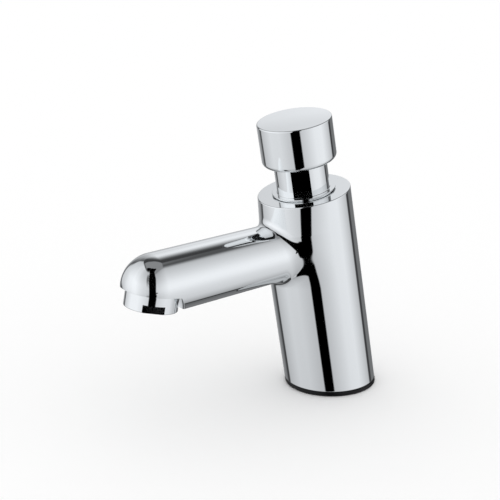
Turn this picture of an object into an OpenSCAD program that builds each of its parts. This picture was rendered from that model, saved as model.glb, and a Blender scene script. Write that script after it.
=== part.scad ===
// Push timed tap: a leaning round body with a cast spout, and a cap that is pushed down
// and comes back slowly. Millimetres, +Z up, origin in the middle of the base on the deck,
// with the spout towards -Y. Levels called _s are measured along the leaning axis.

/* [Body] */
// Diameter of the round body
body_d = 45.4; // [43:0.1:52]
// Length of the body along its leaning axis, from the deck to its top face
body_len = 104.5; // [100:0.5:115]
// Lean of the body towards the spout, in degrees
lean = 10; // [6:0.5:13]
// Rounding of the body's top edge
body_edge_r = 1.2; // [0.4:0.1:2]
// Thickness of the rubber gasket under the body
gasket_t = 2.5; // [1.5:0.1:4]
// How far the gasket stands out past the body
gasket_lip = 0.1; // [0:0.1:1]

/* [Spout] */
// Distance from the base's middle to the middle of the spout's round nose
reach = 102.5; // [95:0.5:125]
// Height of the spout's middle where it leaves the body
spout_z = 74.9; // [73:0.1:78]
// Fall of the spout towards its nose, in degrees
spout_fall = 2.9; // [0:0.1:4]
// Width of the spout at the body
spout_root_w = 29.4; // [27:0.1:32]
// Height of the spout at the body
spout_root_h = 28.3; // [27:0.1:32]
// Width of the spout at its nose
nose_w = 31.2; // [30:0.1:34]
// Height of the spout at its nose
nose_h = 29.6; // [29:0.1:34]
// Length of the spout's rounded nose
nose_l = 15.1; // [14:0.1:17]
// Radius of the fillet to the body above and below the spout
root_fillet_r = 3; // [2:0.1:6]
// Radius of the fillet to the body at the spout's sides
root_side_r = 12; // [6:0.5:14]
// Wall of the hollow spout
spout_wall = 2.4; // [2:0.1:4.5]
// Bore that joins the hollow spout to the chamber in the body
waterway_d = 14; // [8:0.5:15]
// Passage from the hollow spout into the outlet chamber
passage_d = 9; // [6:0.5:9.5]
// Height of that passage above the nose's middle
passage_rise = 6.9; // [6.4:0.1:7.4]

/* [Outlet] */
// Distance from the nose's middle down to the outlet's mouth
outlet_drop = 11; // [10.5:0.1:13]
// Forward tilt of the outlet, in degrees
outlet_tilt = 10.5; // [4:0.5:12]
// Diameter of the outlet ring
outlet_d = 25.4; // [24.4:0.1:27]
// Height of the outlet ring that shows below the nose
outlet_h = 8.2; // [7.5:0.1:9]
// Rounding of the ring's lower edge
outlet_low_r = 0.4; // [0.2:0.1:1]
// Rounding of the ring's upper edge
outlet_top_r = 0.2; // [0.1:0.1:0.4]
// Diameter of the ring's thread
outlet_thread_d = 23.9; // [23:0.1:24.2]
// Length of the ring's thread
outlet_thread_l = 4.2; // [3.5:0.1:5]
// Width of the ring across its spanner flats
outlet_af = 23.2; // [22.2:0.1:24]
// Height of the spanner flats
outlet_flat_h = 3.7; // [2:0.1:5]
// Where the ring stopped turning: bearing of a flat from the spout's front, in degrees
outlet_turn = 66.5; // [0:0.5:180]
// Bore of the outlet ring
outlet_bore_d = 20.6; // [20:0.1:21]
// Opening at the mouth of the ring
mouth_d = 19.2; // [17:0.1:19.8]
// Thickness of the lip at the mouth
mouth_lip_t = 1.2; // [0.8:0.1:2]
// Diameter of the flat cut under the nose that the ring stands in
spot_face_d = 31.9; // [31:0.1:36]
// Thickness of the flat seal above the ring
outlet_seal_t = 1.5; // [1:0.1:2]
// Width of the chamber above that seal
outlet_chamber_d = 17; // [12:0.5:18]
// Height of the chamber above that seal
outlet_chamber_h = 6.2; // [5:0.1:6.6]
// Thickness of the wire screen
screen_t = 0.7; // [0.5:0.1:1]
// Diameter of the screen's holes
screen_hole_d = 1.5; // [0.8:0.1:1.6]
// Distance between the screen's holes
screen_pitch = 2; // [1.9:0.1:3]
// Height of the jet insert
jet_insert_h = 6.3; // [5:0.1:7]
// Wall of the insert below its plate of jets
jet_insert_wall = 1.2; // [0.8:0.1:2]
// Thickness of the plate of jets in the insert
jet_plate_t = 2.4; // [1.5:0.1:3]
// Number of jets
jet_count = 12; // [6:1:16]
// Diameter of a jet
jet_d = 1.6; // [1:0.1:2]
// Diameter of the circle that the jets lie on
jet_circle_d = 13.6; // [12:0.1:15]
// Thickness of the flow regulator
regulator_t = 3; // [2:0.1:3.4]
// Number of holes in the regulator
regulator_hole_count = 8; // [4:1:10]
// Diameter of those holes
regulator_hole_d = 2.6; // [1.5:0.1:3]
// Diameter of the circle that they lie on
regulator_circle_d = 13.6; // [12:0.1:15]
// Hole in the middle of the regulator
regulator_bore_d = 5; // [3:0.1:7]

/* [Push cap] */
// Diameter of the cap
cap_d = 36.2; // [35.4:0.1:40]
// Height of the cap
cap_h = 21; // [20:0.1:26]
// Wall of the cap's skirt
cap_wall = 2.6; // [1.8:0.1:3]
// Thickness of the cap's top
cap_top_t = 2.8; // [2:0.1:3.5]
// Rounding of the cap's lower edge
cap_low_r = 2.4; // [0.5:0.1:2.5]
// Rounding of the cap's upper edge
cap_top_r = 0.45; // [0.3:0.05:2]
// How far the cap travels
stroke = 9; // [6:0.5:10]
// Room left under the cap when it is fully pushed
over_travel = 3.7; // [1:0.1:4.5]
// Diameter of the boss inside the cap
boss_d = 16.6; // [16:0.1:17.6]
// Height of the boss inside the cap
boss_h = 7; // [6:0.1:8]
// How deep the spindle goes into the boss
boss_grip = 5.5; // [4:0.1:5.8]
// Height of the guide ring in the cap's skirt
guide_ring_h = 5.8; // [4:0.1:6.5]
// How far the guide ring sits above the cap's lower edge
guide_ring_up = 0.7; // [0.4:0.1:1.5]

/* [Bonnet] */
// Diameter of the stem that the cap slides on
stem_d = 25.8; // [25:0.1:26.4]
// Width of the stem across its spanner flats
stem_af = 24.2; // [23.4:0.1:24.8]
// Bearing of a flat from the spout's front, in degrees
stem_turn = 53; // [0:1:180]
// Diameter of the flange on the body
flange_d = 31; // [30:0.1:36]
// Thickness of the flange's rim
flange_t = 0.6; // [0.4:0.1:2]
// Hollow fillet between the stem and its flange
stem_fillet_r = 2.2; // [1:0.1:2.2]
// Diameter of the thread in the body
bonnet_thread_d = 27.8; // [27.6:0.1:29]
// Length of the thread in the body
bonnet_thread_l = 12; // [11:0.1:13]
// Depth of the middle web below the body's top face
web_drop = 4.5; // [4:0.1:5]
// Thickness of the middle web
web_t = 7; // [6:0.1:8]
// Width of the well that holds the spring
spring_well_d = 18.6; // [18.4:0.1:19.4]
// Width of the bore below the web
bonnet_bore_d = 23.8; // [23.6:0.1:24.2]
// Diameter of the guide bush
bush_d = 13; // [11:0.1:13.4]
// Diameter of the bush's collar
bush_collar_d = 17.8; // [17:0.1:18]
// Thickness of the bush's collar
bush_collar_t = 1.5; // [1:0.1:2.5]
// Diameter of the spindle seal
spindle_seal_d = 13.9; // [13:0.1:15]
// Height of the spindle seal
spindle_seal_h = 2.8; // [2:0.1:3]
// Thickness of the disc that holds the seal
retainer_t = 2; // [1.5:0.1:2.5]

/* [Spring] */
// Diameter of the spring's wire
wire_d = 1.4; // [1:0.1:1.5]
// Middle diameter of the spring's turns
spring_d = 14.6; // [14.2:0.1:15]
// Turns of the spring
spring_turns = 6; // [4:1:6]

/* [Spindle] */
// Diameter of the spindle
spindle_d = 8; // [7:0.1:8.2]
// Diameter of the spindle's neck in the water
neck_d = 6.4; // [5.6:0.1:6.8]
// Diameter of the spindle's threaded end
tail_d = 5; // [4:0.1:5.4]
// Depth of the grooves for the piston's clips
clip_groove = 0.7; // [0.4:0.1:1]
// Outer diameter of the piston's clips
clip_d = 12; // [11:0.1:14]
// Thickness of the piston's clips
clip_t = 0.8; // [0.6:0.1:1]
// Opening of the piston's clips
clip_gap = 5.2; // [4:0.1:6]
// Width of the locknut across flats
locknut_af = 10.5; // [10.2:0.1:11]
// Thickness of the locknut
locknut_t = 3.2; // [2.5:0.1:4]
// Width of the valve nut across flats
valve_nut_af = 8; // [7:0.5:10]
// Thickness of the valve nut
valve_nut_t = 4; // [3:0.1:5]

/* [Cartridge] */
// Level of the shoulder in the body that carries the barrel
shoulder_s = 46; // [44:0.5:48]
// Diameter of the barrel where it fits the body
barrel_d = 26; // [25.8:0.1:27]
// Diameter of the barrel's waist between its two lands
waist_d = 22.4; // [21.5:0.1:23]
// Bore of the timing cylinder
cylinder_d = 19; // [18:0.1:19.6]
// Bore of the water chamber below it
chamber_d = 18; // [17:0.1:18.4]
// Length of the barrel's lower land
lower_land = 10.5; // [9.5:0.1:12]
// Length of the barrel's upper land
upper_land = 6.5; // [6:0.1:8]
// How far each land reaches into the chamber around the barrel
land_step = 0.5; // [0.2:0.1:1]
// Gap between the upper land and the bonnet
land_gap = 1.2; // [0.8:0.1:1.6]
// Diameter of the water chamber in the body around the barrel
gallery_d = 30; // [29:0.5:34]
// Diameter of the ports through the waist
port_d = 5; // [3:0.1:5.5]
// Number of ports
port_count = 6; // [3:1:8]
// Thickness of the web below the timing cylinder
barrel_web_t = 3.5; // [3.2:0.1:4]
// Thickness of the piston
piston_t = 3; // [2:0.1:3.5]
// Height of the piston's cup seal
cup_h = 2.5; // [2:0.1:3]
// Thickness of the cup seal's floor
cup_floor_t = 1; // [0.6:0.1:1.4]
// Thickness of the cup seal's lip
cup_lip_t = 1; // [0.6:0.1:1.4]
// How far the cup seal's lip flares out
cup_flare = 0.6; // [0.3:0.1:0.9]
// Diameter of the seat ring
seat_d = 19.8; // [19:0.1:20]
// Bore of the seat ring
seat_bore_d = 13; // [10:0.1:14]
// Height of the seat ring inside the barrel
seat_h = 8.5; // [7:0.1:9]
// Height of the seat's raised lip
lip_h = 1.2; // [0.6:0.1:1.4]
// Width of the seat's raised lip
lip_w = 1.5; // [0.8:0.1:2]
// Thickness of the flat seal under the barrel
seat_seal_t = 1.5; // [1.2:0.1:2.5]
// Diameter of the inlet chamber below the shoulder
inlet_chamber_d = 21; // [20.6:0.1:22]
// Diameter of the valve washer
washer_d = 18.4; // [16.5:0.1:18.6]
// Thickness of the valve washer
washer_t = 3; // [2.5:0.1:4]
// Thickness of the valve carrier's floor
carrier_floor_t = 2.2; // [1.5:0.1:3]
// Thickness of the valve carrier's rim
carrier_rim_t = 0.5; // [0.4:0.1:0.6]
// Height of the valve carrier's rim
carrier_rim_h = 1.6; // [1:0.1:2]
// Cord thickness of the O-rings
ring_cord = 1.6; // [1.2:0.1:1.7]
// Free width of an O-ring's groove beside its cord
ring_room = 0.5; // [0.3:0.1:0.6]

/* [Base] */
// Diameter of the block in the base
insert_d = 32.8; // [31:0.1:34]
// Height of that block
insert_h = 16; // [15:0.1:17]
// How far the block sits above the body's lower edge
insert_recess = 2.5; // [1:0.1:4]
// Wall diameter of the hose thread, M10 x 1
hose_thread_d = 9; // [8.8:0.1:9.2]
// How far the hose thread lies in front of the block's middle
hose_offset = 5.2; // [5:0.1:6.5]
// Wall diameter of the stud thread, M8
stud_thread_d = 6.8; // [6.6:0.1:6.9]
// Depth of the stud thread
stud_thread_l = 12; // [8:0.5:13]
// How far the stud thread lies behind the block's middle
stud_offset = 9; // [8.5:0.1:10]
// Diameter of the inlet strainer
strainer_d = 13; // [11:0.1:13.4]
// Thickness of the inlet strainer
strainer_t = 2; // [1:0.1:2.5]
// Diameter of the strainer's holes
strainer_hole_d = 1.1; // [0.8:0.1:1.4]
// Distance between the strainer's holes
strainer_pitch = 1.8; // [1.7:0.1:2.4]

/* [Fits] */
// Gap round pieces that are screwed or pressed together
fit_gap = 0.1; // [0.05:0.05:0.2]
// Gap round the spindle where it runs in its bush and seals
run_gap = 0.05; // [0.03:0.01:0.1]
// Gap beside pieces that slide past each other
slide_gap = 0.3; // [0.2:0.05:0.5]
// Gap between the cap's guide ring and the stem
guide_gap = 0.15; // [0.1:0.05:0.3]
// Free room left where pieces come close at the end of the travel
end_gap = 0.8; // [0.6:0.1:1.2]

/* [Hidden] */
$fn = 96;
eps = 0.5;

chrome = "Gainsboro";
brass = "DarkKhaki";
steel = "LightSlateGray";
rubber = "DimGray";
acetal = "WhiteSmoke";
black_acetal = "Black";
yellow_plastic = "Khaki";

body_r = body_d / 2;
lean_axis = [0, -sin(lean), cos(lean)];

// Levels along the leaning axis, from the bonnet upwards
bonnet_low_s = body_len - bonnet_thread_l;
web_low_s = body_len - web_drop;
web_high_s = web_low_s + web_t;
bush_high_s = web_high_s + bush_collar_t;
flat_low_s = body_len + flange_t;
cap_low_s = flat_low_s + stem_fillet_r + stroke + over_travel;
cap_high_s = cap_low_s + cap_h;
ceiling_s = cap_high_s - cap_top_t;
boss_low_s = ceiling_s - boss_h;
stem_high_s = ceiling_s - stroke - 2 * end_gap;
bonnet_ring_s = web_low_s + ring_cord + fit_gap;

// Levels of the cartridge, from the shoulder upwards
barrel_low_s = shoulder_s + seat_seal_t;
seat_high_s = barrel_low_s + seat_h;
barrel_high_s = web_low_s - retainer_t;
gallery_low_s = barrel_low_s + lower_land;
gallery_high_s = bonnet_low_s - upper_land;
waist_low_s = gallery_low_s + land_step;
waist_high_s = gallery_high_s - land_step;
land_high_s = bonnet_low_s - land_gap;
clip_high_s = barrel_high_s - end_gap;
piston_low_s = clip_high_s - clip_t - piston_t;
cup_low_s = piston_low_s - cup_h;
clip_low_s = cup_low_s - clip_t;
barrel_web_high_s = clip_low_s - stroke - end_gap;
barrel_web_low_s = barrel_web_high_s - barrel_web_t;
port_s = (waist_low_s + barrel_web_low_s) / 2;
upper_ring_s = (gallery_high_s + land_high_s) / 2;
lower_ring_s = (barrel_low_s + gallery_low_s) / 2;
web_ring_s = (barrel_web_low_s + barrel_web_high_s) / 2;
groove_w = ring_cord + ring_room;

// Levels of the valve, from the seat's lip downwards
lip_s = barrel_low_s - lip_h;
washer_low_s = lip_s - washer_t;
carrier_low_s = washer_low_s - carrier_floor_t;
valve_nut_low_s = carrier_low_s - valve_nut_t;
spindle_low_s = valve_nut_low_s - end_gap;
spindle_high_s = boss_low_s + boss_grip;
neck_high_s = seat_high_s + stroke + end_gap;

// Heights in the base
insert_low_z = gasket_t + insert_recess;
insert_high_z = insert_low_z + insert_h;
insert_y = -insert_high_z * tan(lean) / 2;
insert_ring_z = insert_high_z - strainer_t - ring_cord;

// Heights in the outlet, from its mouth upwards
screen_high_w = mouth_lip_t + screen_t;
jets_high_w = screen_high_w + jet_insert_h;
ring_high_w = outlet_h + outlet_thread_l;
outlet_seal_high_w = ring_high_w + outlet_seal_t;
outlet_chamber_high_w = outlet_seal_high_w + outlet_chamber_h;

// Hollow of the spout, which starts a wall's thickness before the body's chamber
core_d = min(spout_root_h, spout_root_w) - 2 * spout_wall;
core_near_y = -(spout_z + core_d / 2) * tan(lean) - gallery_d / 2 / cos(lean) - spout_wall;
core_far_y = -reach + spot_face_d / 2 + spout_wall;

// Spout surface: an ellipse that grows a little from the body to the nose
function mix(a, b, t) = a + (b - a) * t;
function along(y) = (-y - body_r) / (reach - body_r);
function half_w(y) = mix(spout_root_w, nose_w, along(y)) / 2;
function half_h(y) = mix(spout_root_h, nose_h, along(y)) / 2;
function centre_z(y) = spout_z + (y + body_r) * tan(spout_fall);
function spout_pt(a, y, shrink = 1) =
    [half_w(y) * shrink * cos(a), y, centre_z(y) + half_h(y) * shrink * sin(a)];
w_slope = -(nose_w - spout_root_w) / 2 / (reach - body_r);
h_slope = -(nose_h - spout_root_h) / 2 / (reach - body_r);
function unit(v) = v / norm(v);
function spout_normal(a, y) =
    let (w = half_w(y), h = half_h(y),
         back = h * w_slope * cos(a) ^ 2 + w * sin(a) * (tan(spout_fall) + h_slope * sin(a)))
    unit([h * cos(a), -back, w * sin(a)]);

// Fillet: a ball that rolls in the corner and touches both the spout and the body, and grows
// towards the spout's sides
root_sink = 0.15;
root_depth = 3;
function off_axis(p) = p - (p * lean_axis) * lean_axis;
function fillet_r(a) = mix(root_fillet_r, root_side_r, cos(a) ^ 2);
function ball(a, y) = spout_pt(a, y) + fillet_r(a) * spout_normal(a, y);
function ball_y(a, near, far, steps) =
    let (mid = (near + far) / 2)
    steps == 0 ? mid
    : norm(off_axis(ball(a, mid))) < body_r + fillet_r(a) - root_sink
        ? ball_y(a, mid, far, steps - 1)
        : ball_y(a, near, mid, steps - 1);
function arc_dir(from, to, t) =
    let (turn = acos(from * to))
    (sin((1 - t) * turn) * from + sin(t * turn) * to) / sin(turn);
bisections = 30;
function touch_y(a) = ball_y(a, -spout_z * tan(lean), -reach, bisections);

// Rows of the spout's skin, from inside the body out to the nose
sides = 48;
fillet_steps = 5;
tube_steps = 3;
nose_steps = 9;
side_angles = [for (i = [0 : sides - 1]) 360 * i / sides];
root_y = [for (a = side_angles) touch_y(a)];
root_balls = [for (i = [0 : sides - 1]) ball(side_angles[i], root_y[i])];
to_body = [for (c = root_balls) -unit(off_axis(c))];
to_spout = [for (i = [0 : sides - 1]) -spout_normal(side_angles[i], root_y[i])];
root_row = [for (i = [0 : sides - 1])
    root_balls[i] + (fillet_r(side_angles[i]) + root_depth) * to_body[i]];
fillet_rows = [for (k = [0 : fillet_steps])
    [for (i = [0 : sides - 1])
        root_balls[i]
            + fillet_r(side_angles[i]) * arc_dir(to_body[i], to_spout[i], k / fillet_steps)]];
tube_rows = [for (k = [1 : tube_steps])
    [for (i = [0 : sides - 1])
        spout_pt(side_angles[i], mix(root_y[i], -reach, k / tube_steps))]];
nose_rows = [for (k = [1 : nose_steps - 1])
    let (turn = 90 * k / nose_steps)
    [for (a = side_angles) spout_pt(a, -reach - nose_l * sin(turn), cos(turn))]];
nose_tip = spout_pt(0, -reach - nose_l, 0);
function sum(v, i = 0) = i == len(v) - 1 ? v[i] : v[i] + sum(v, i + 1);
function middle(row) = sum(row) / len(row);

// Spring: rings of wire points along a helix
curl_rings = 8;
wire_sides = 6;
ring_total = spring_turns * curl_rings;
spring_low_s = bush_high_s + wire_d / 2 + fit_gap;
spring_rise = boss_low_s - bush_high_s - wire_d - 2 * fit_gap;
spring_lift = atan(spring_rise / (PI * spring_d * spring_turns));
function wire_ring(i) =
    let (turn = 360 * i / curl_rings,
         out = [cos(turn), sin(turn), 0],
         ahead = [-sin(turn) * cos(spring_lift), cos(turn) * cos(spring_lift), sin(spring_lift)],
         up = cross(out, ahead),
         mid = out * spring_d / 2 + [0, 0, spring_low_s + spring_rise * i / ring_total])
    [for (j = [0 : wire_sides - 1])
        let (b = 360 * j / wire_sides)
        mid + wire_d / 2 * (cos(b) * out + sin(b) * up)];
wire_rings = [for (i = [0 : ring_total]) wire_ring(i)];
spring_gap = min([for (i = [0 : ring_total - curl_rings])
    for (p = wire_rings[i]) for (q = wire_rings[i + curl_rings]) norm(p - q)]);
echo(spring_gap = spring_gap);

// Closed skin over rows of points, closed at each end by one middle point
module skin(rows, first, last) {
    n = len(rows[0]);
    m = len(rows);
    points = concat([for (row = rows) for (p = row) p], [first, last]);
    sheet = [for (k = [0 : m - 2]) for (i = [0 : n - 1])
        let (a = k * n + i, b = k * n + (i + 1) % n)
        each [[a, a + n, b], [b, a + n, b + n]]];
    first_cap = [for (i = [0 : n - 1]) [m * n, i, (i + 1) % n]];
    last_cap = [for (i = [0 : n - 1]) [m * n + 1, (m - 1) * n + (i + 1) % n, (m - 1) * n + i]];
    polyhedron(points, concat(sheet, first_cap, last_cap));
}

// Round solids along +Z between two levels
module rod(d, low, high) {
    translate([0, 0, low]) cylinder(d = d, h = high - low);
}
module tube(d, bore, low, high) {
    difference() {
        rod(d, low, high);
        rod(bore, low - eps, high + eps);
    }
}
module rounded_rod(d, low, high, low_r, high_r) {
    r = d / 2;
    h = high - low;
    translate([0, 0, low]) rotate_extrude() {
        translate([0, low_r]) square([r, h - low_r - high_r]);
        square([r - low_r, h / 2]);
        translate([0, h / 2]) square([r - high_r, h / 2]);
        translate([r - low_r, low_r]) circle(low_r);
        translate([r - high_r, h - high_r]) circle(high_r);
    }
}
module hollow_fillet(d, low, r) {
    translate([0, 0, low]) rotate_extrude() difference() {
        translate([d / 2 - eps, 0]) square([r + eps, r]);
        translate([d / 2 + r, r]) circle(r);
    }
}
module o_ring(inner_d, level) {
    translate([0, 0, level]) rotate_extrude()
        translate([(inner_d + ring_cord) / 2 + fit_gap / 2, 0]) circle((ring_cord - fit_gap) / 2);
}
module ring_groove(wall_d, floor_d, level) {
    tube(wall_d + 2 * eps, floor_d, level - groove_w / 2, level + groove_w / 2);
}
module hex_nut(af, bore, low, high) {
    difference() {
        translate([0, 0, low]) cylinder(d = af / cos(30), h = high - low, $fn = 6);
        rod(bore, low - eps, high + eps);
    }
}
// Two flats, each cut away outside a width across flats, with one facing a bearing
module flats(af, bearing, low, high, d) {
    for (side = [0, 180])
        rotate([0, 0, bearing - 90 + side])
            translate([af / 2, -d, low]) cube([d, 2 * d, high - low]);
}
module perforated_disc(d, low, high, hole_d, pitch) {
    count = ceil(d / pitch);
    difference() {
        rod(d, low, high);
        for (i = [-count : count], j = [-count : count]) {
            p = [pitch * (i + j / 2), pitch * j * sin(60)];
            if (norm(p) < d / 2 - pitch)
                translate(p) rod(hole_d, low - eps, high + eps);
        }
    }
}
module leaned() {
    rotate([lean, 0, 0]) children();
}
module at_outlet() {
    translate([0, -reach, centre_z(-reach)])
        rotate([-outlet_tilt, 0, 0])
            translate([0, 0, -outlet_drop]) children();
}
module spout_bore(d, near_y, far_y) {
    translate([0, near_y, centre_z(near_y)])
        rotate([90 + spout_fall, 0, 0]) cylinder(d = d, h = (near_y - far_y) / cos(spout_fall));
}

module body_shell() {
    difference() {
        leaned() rounded_rod(body_d, -body_d * tan(lean), body_len, body_edge_r, body_edge_r);
        translate([-body_d, -body_d, -body_d]) cube([2 * body_d, 2 * body_d, body_d + gasket_t]);
    }
    skin(concat([root_row], fillet_rows, tube_rows, nose_rows), middle(root_row), nose_tip);
}
module cartridge_bores() {
    rod(bonnet_thread_d + 2 * fit_gap, land_high_s, body_len + eps);
    rod(barrel_d + 2 * fit_gap, shoulder_s, land_high_s + eps);
    rod(gallery_d, gallery_low_s, gallery_high_s);
    rod(inlet_chamber_d, insert_high_z - inlet_chamber_d * tan(lean), shoulder_s + eps);
}
module outlet_bores() {
    rod(spot_face_d, -outlet_h, outlet_h);
    rod(outlet_thread_d + 2 * fit_gap, outlet_h - eps, outlet_seal_high_w);
    rod(outlet_chamber_d, outlet_h, outlet_chamber_high_w);
}
module tap_body() {
    color(chrome) difference() {
        body_shell();
        leaned() cartridge_bores();
        translate([0, insert_y, 0]) rod(insert_d + 2 * fit_gap, 0, insert_high_z);
        spout_bore(waterway_d, -body_r / 2, core_near_y - eps);
        spout_bore(core_d, core_near_y, core_far_y);
        translate([0, core_far_y + eps, centre_z(-reach) + passage_rise])
            rotate([90, 0, 0]) cylinder(d = passage_d, h = core_far_y + eps + reach);
        at_outlet() outlet_bores();
    }
}
module base_gasket() {
    color(rubber) difference() {
        intersection() {
            leaned() rod(body_d + 2 * gasket_lip, -body_d * tan(lean), body_d);
            translate([-body_d, -body_d, 0]) cube([2 * body_d, 2 * body_d, gasket_t]);
        }
        translate([0, insert_y, 0]) rod(insert_d + 2 * fit_gap, -eps, gasket_t + eps);
    }
}
module base_insert() {
    color(brass) translate([0, insert_y, 0]) difference() {
        rod(insert_d, insert_low_z, insert_high_z);
        translate([0, -hose_offset, 0]) {
            rod(hose_thread_d, insert_low_z - eps, insert_high_z);
            rod(strainer_d + 2 * fit_gap, insert_high_z - strainer_t, insert_high_z + eps);
        }
        translate([0, stud_offset, 0])
            rod(stud_thread_d, insert_low_z - eps, insert_low_z + stud_thread_l);
        ring_groove(insert_d, insert_d + 2 * fit_gap - 2 * ring_cord, insert_ring_z);
    }
}
module base_insert_oring() {
    color(rubber) translate([0, insert_y, 0])
        o_ring(insert_d + 2 * fit_gap - 2 * ring_cord, insert_ring_z);
}
module inlet_strainer() {
    color(steel) translate([0, insert_y - hose_offset, 0])
        perforated_disc(strainer_d, insert_high_z - strainer_t, insert_high_z,
            strainer_hole_d, strainer_pitch);
}

module seat_seal() {
    color(rubber) leaned() tube(barrel_d, inlet_chamber_d, shoulder_s, barrel_low_s);
}
module valve_seat() {
    color(brass) leaned() {
        tube(seat_d, seat_bore_d, barrel_low_s, seat_high_s);
        tube(seat_bore_d + 2 * lip_w, seat_bore_d, lip_s, barrel_low_s);
    }
}
module cartridge_barrel() {
    ring_floor = barrel_d + 2 * fit_gap - 2 * ring_cord;
    color(acetal) leaned() difference() {
        union() {
            rod(barrel_d, barrel_low_s, waist_low_s);
            rod(waist_d, waist_low_s, waist_high_s);
            rod(barrel_d, waist_high_s, land_high_s);
            rod(bonnet_bore_d - 2 * fit_gap, land_high_s, barrel_high_s);
        }
        rod(seat_d + 2 * fit_gap, barrel_low_s - eps, seat_high_s);
        rod(chamber_d, seat_high_s - eps, barrel_web_low_s);
        rod(spindle_d + 2 * slide_gap, barrel_web_low_s - eps, barrel_web_high_s + eps);
        rod(cylinder_d, barrel_web_high_s, barrel_high_s + eps);
        ring_groove(barrel_d, ring_floor, lower_ring_s);
        ring_groove(barrel_d, ring_floor, upper_ring_s);
        rod(spindle_d + 2 * run_gap + 2 * ring_cord,
            web_ring_s - groove_w / 2, web_ring_s + groove_w / 2);
        for (k = [0 : port_count - 1])
            translate([0, 0, port_s]) rotate([0, 90, 360 * k / port_count])
                cylinder(d = port_d, h = waist_d);
    }
}
module barrel_upper_oring() {
    color(rubber) leaned() o_ring(barrel_d + 2 * fit_gap - 2 * ring_cord, upper_ring_s);
}
module barrel_lower_oring() {
    color(rubber) leaned() o_ring(barrel_d + 2 * fit_gap - 2 * ring_cord, lower_ring_s);
}
module web_oring() {
    color(rubber) leaned() o_ring(spindle_d + 2 * run_gap, web_ring_s);
}
module seal_retainer() {
    color(acetal) leaned()
        tube(bonnet_bore_d - 2 * fit_gap, spindle_d + 2 * slide_gap, barrel_high_s, web_low_s);
}
module spindle_seal() {
    color(rubber) leaned() tube(spindle_seal_d, spindle_d + 2 * run_gap,
        web_low_s, web_low_s + spindle_seal_h);
}
module guide_bush() {
    low = web_low_s + spindle_seal_h + fit_gap;
    color(acetal) leaned() difference() {
        union() {
            rod(bush_d, low, web_high_s);
            rod(bush_collar_d, web_high_s, bush_high_s);
        }
        rod(spindle_d + 2 * run_gap, low - eps, bush_high_s + eps);
    }
}
module bonnet() {
    color(chrome) leaned() difference() {
        union() {
            rod(bonnet_thread_d, bonnet_low_s, body_len);
            rounded_rod(flange_d, body_len, flat_low_s, flange_t / 4, flange_t / 2);
            rod(stem_d, body_len, stem_high_s);
            hollow_fillet(stem_d, flat_low_s, stem_fillet_r);
        }
        rod(bonnet_bore_d, bonnet_low_s - eps, web_low_s);
        rod(spindle_seal_d + 2 * fit_gap, web_low_s - eps, web_low_s + spindle_seal_h + fit_gap);
        rod(bush_d + 2 * fit_gap, web_low_s, web_high_s + eps);
        rod(spring_well_d, web_high_s, stem_high_s + eps);
        ring_groove(bonnet_thread_d, bonnet_thread_d + 2 * fit_gap - 2 * ring_cord, bonnet_ring_s);
        flats(stem_af, stem_turn, flat_low_s, stem_high_s + eps, stem_d);
    }
}
module bonnet_oring() {
    color(rubber) leaned() o_ring(bonnet_thread_d + 2 * fit_gap - 2 * ring_cord, bonnet_ring_s);
}
module return_spring() {
    color(steel) leaned() skin(wire_rings, middle(wire_rings[0]), middle(wire_rings[ring_total]));
}

module aerator_housing() {
    color(chrome) at_outlet() difference() {
        union() {
            rounded_rod(outlet_d, 0, outlet_h, outlet_low_r, outlet_top_r);
            rod(outlet_thread_d, outlet_h / 2, ring_high_w);
        }
        rod(mouth_d, -eps, mouth_lip_t + eps);
        rod(outlet_bore_d, mouth_lip_t, ring_high_w + eps);
        flats(outlet_af, outlet_turn, -eps, outlet_flat_h, outlet_d);
    }
}
module aerator_screen() {
    color(steel) at_outlet()
        perforated_disc(outlet_bore_d - 2 * fit_gap, mouth_lip_t, screen_high_w,
            screen_hole_d, screen_pitch);
}
module aerator_insert() {
    d = outlet_bore_d - 2 * fit_gap;
    color(acetal) at_outlet() difference() {
        rod(d, screen_high_w, jets_high_w);
        rod(d - 2 * jet_insert_wall, screen_high_w - eps, jets_high_w - jet_plate_t);
        for (k = [0 : jet_count - 1])
            rotate([0, 0, 360 * k / jet_count]) translate([jet_circle_d / 2, 0, 0])
                rod(jet_d, screen_high_w, jets_high_w + eps);
    }
}
module flow_regulator() {
    d = outlet_bore_d - 2 * fit_gap;
    color(yellow_plastic) at_outlet() difference() {
        rod(d, jets_high_w, jets_high_w + regulator_t);
        rod(regulator_bore_d, jets_high_w - eps, jets_high_w + regulator_t + eps);
        for (k = [0 : regulator_hole_count - 1])
            rotate([0, 0, 360 * k / regulator_hole_count])
                translate([regulator_circle_d / 2, 0, 0])
                    rod(regulator_hole_d, jets_high_w - eps, jets_high_w + regulator_t + eps);
    }
}
module aerator_seal() {
    color(rubber) at_outlet()
        tube(outlet_thread_d, outlet_chamber_d, ring_high_w, outlet_seal_high_w);
}

module push_cap() {
    color(chrome) leaned() difference() {
        rounded_rod(cap_d, cap_low_s, cap_high_s, cap_low_r, cap_top_r);
        difference() {
            rod(cap_d - 2 * cap_wall, cap_low_s - eps, ceiling_s);
            rod(boss_d, boss_low_s, ceiling_s + eps);
        }
        rod(spindle_d + 2 * fit_gap, boss_low_s - eps, spindle_high_s + fit_gap);
    }
}
module cap_guide_ring() {
    low = cap_low_s + guide_ring_up;
    color(black_acetal) leaned() tube(cap_d - 2 * cap_wall - 2 * fit_gap,
        stem_d + 2 * guide_gap, low, low + guide_ring_h);
}
module spindle() {
    groove_d = spindle_d - 2 * clip_groove;
    color(steel) leaned() difference() {
        union() {
            rod(tail_d, spindle_low_s, lip_s);
            rod(neck_d, lip_s, neck_high_s);
            rod(spindle_d, neck_high_s, spindle_high_s);
        }
        for (low = [clip_low_s, clip_high_s - clip_t])
            tube(spindle_d + 2 * eps, groove_d, low, low + clip_t);
    }
}
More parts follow.
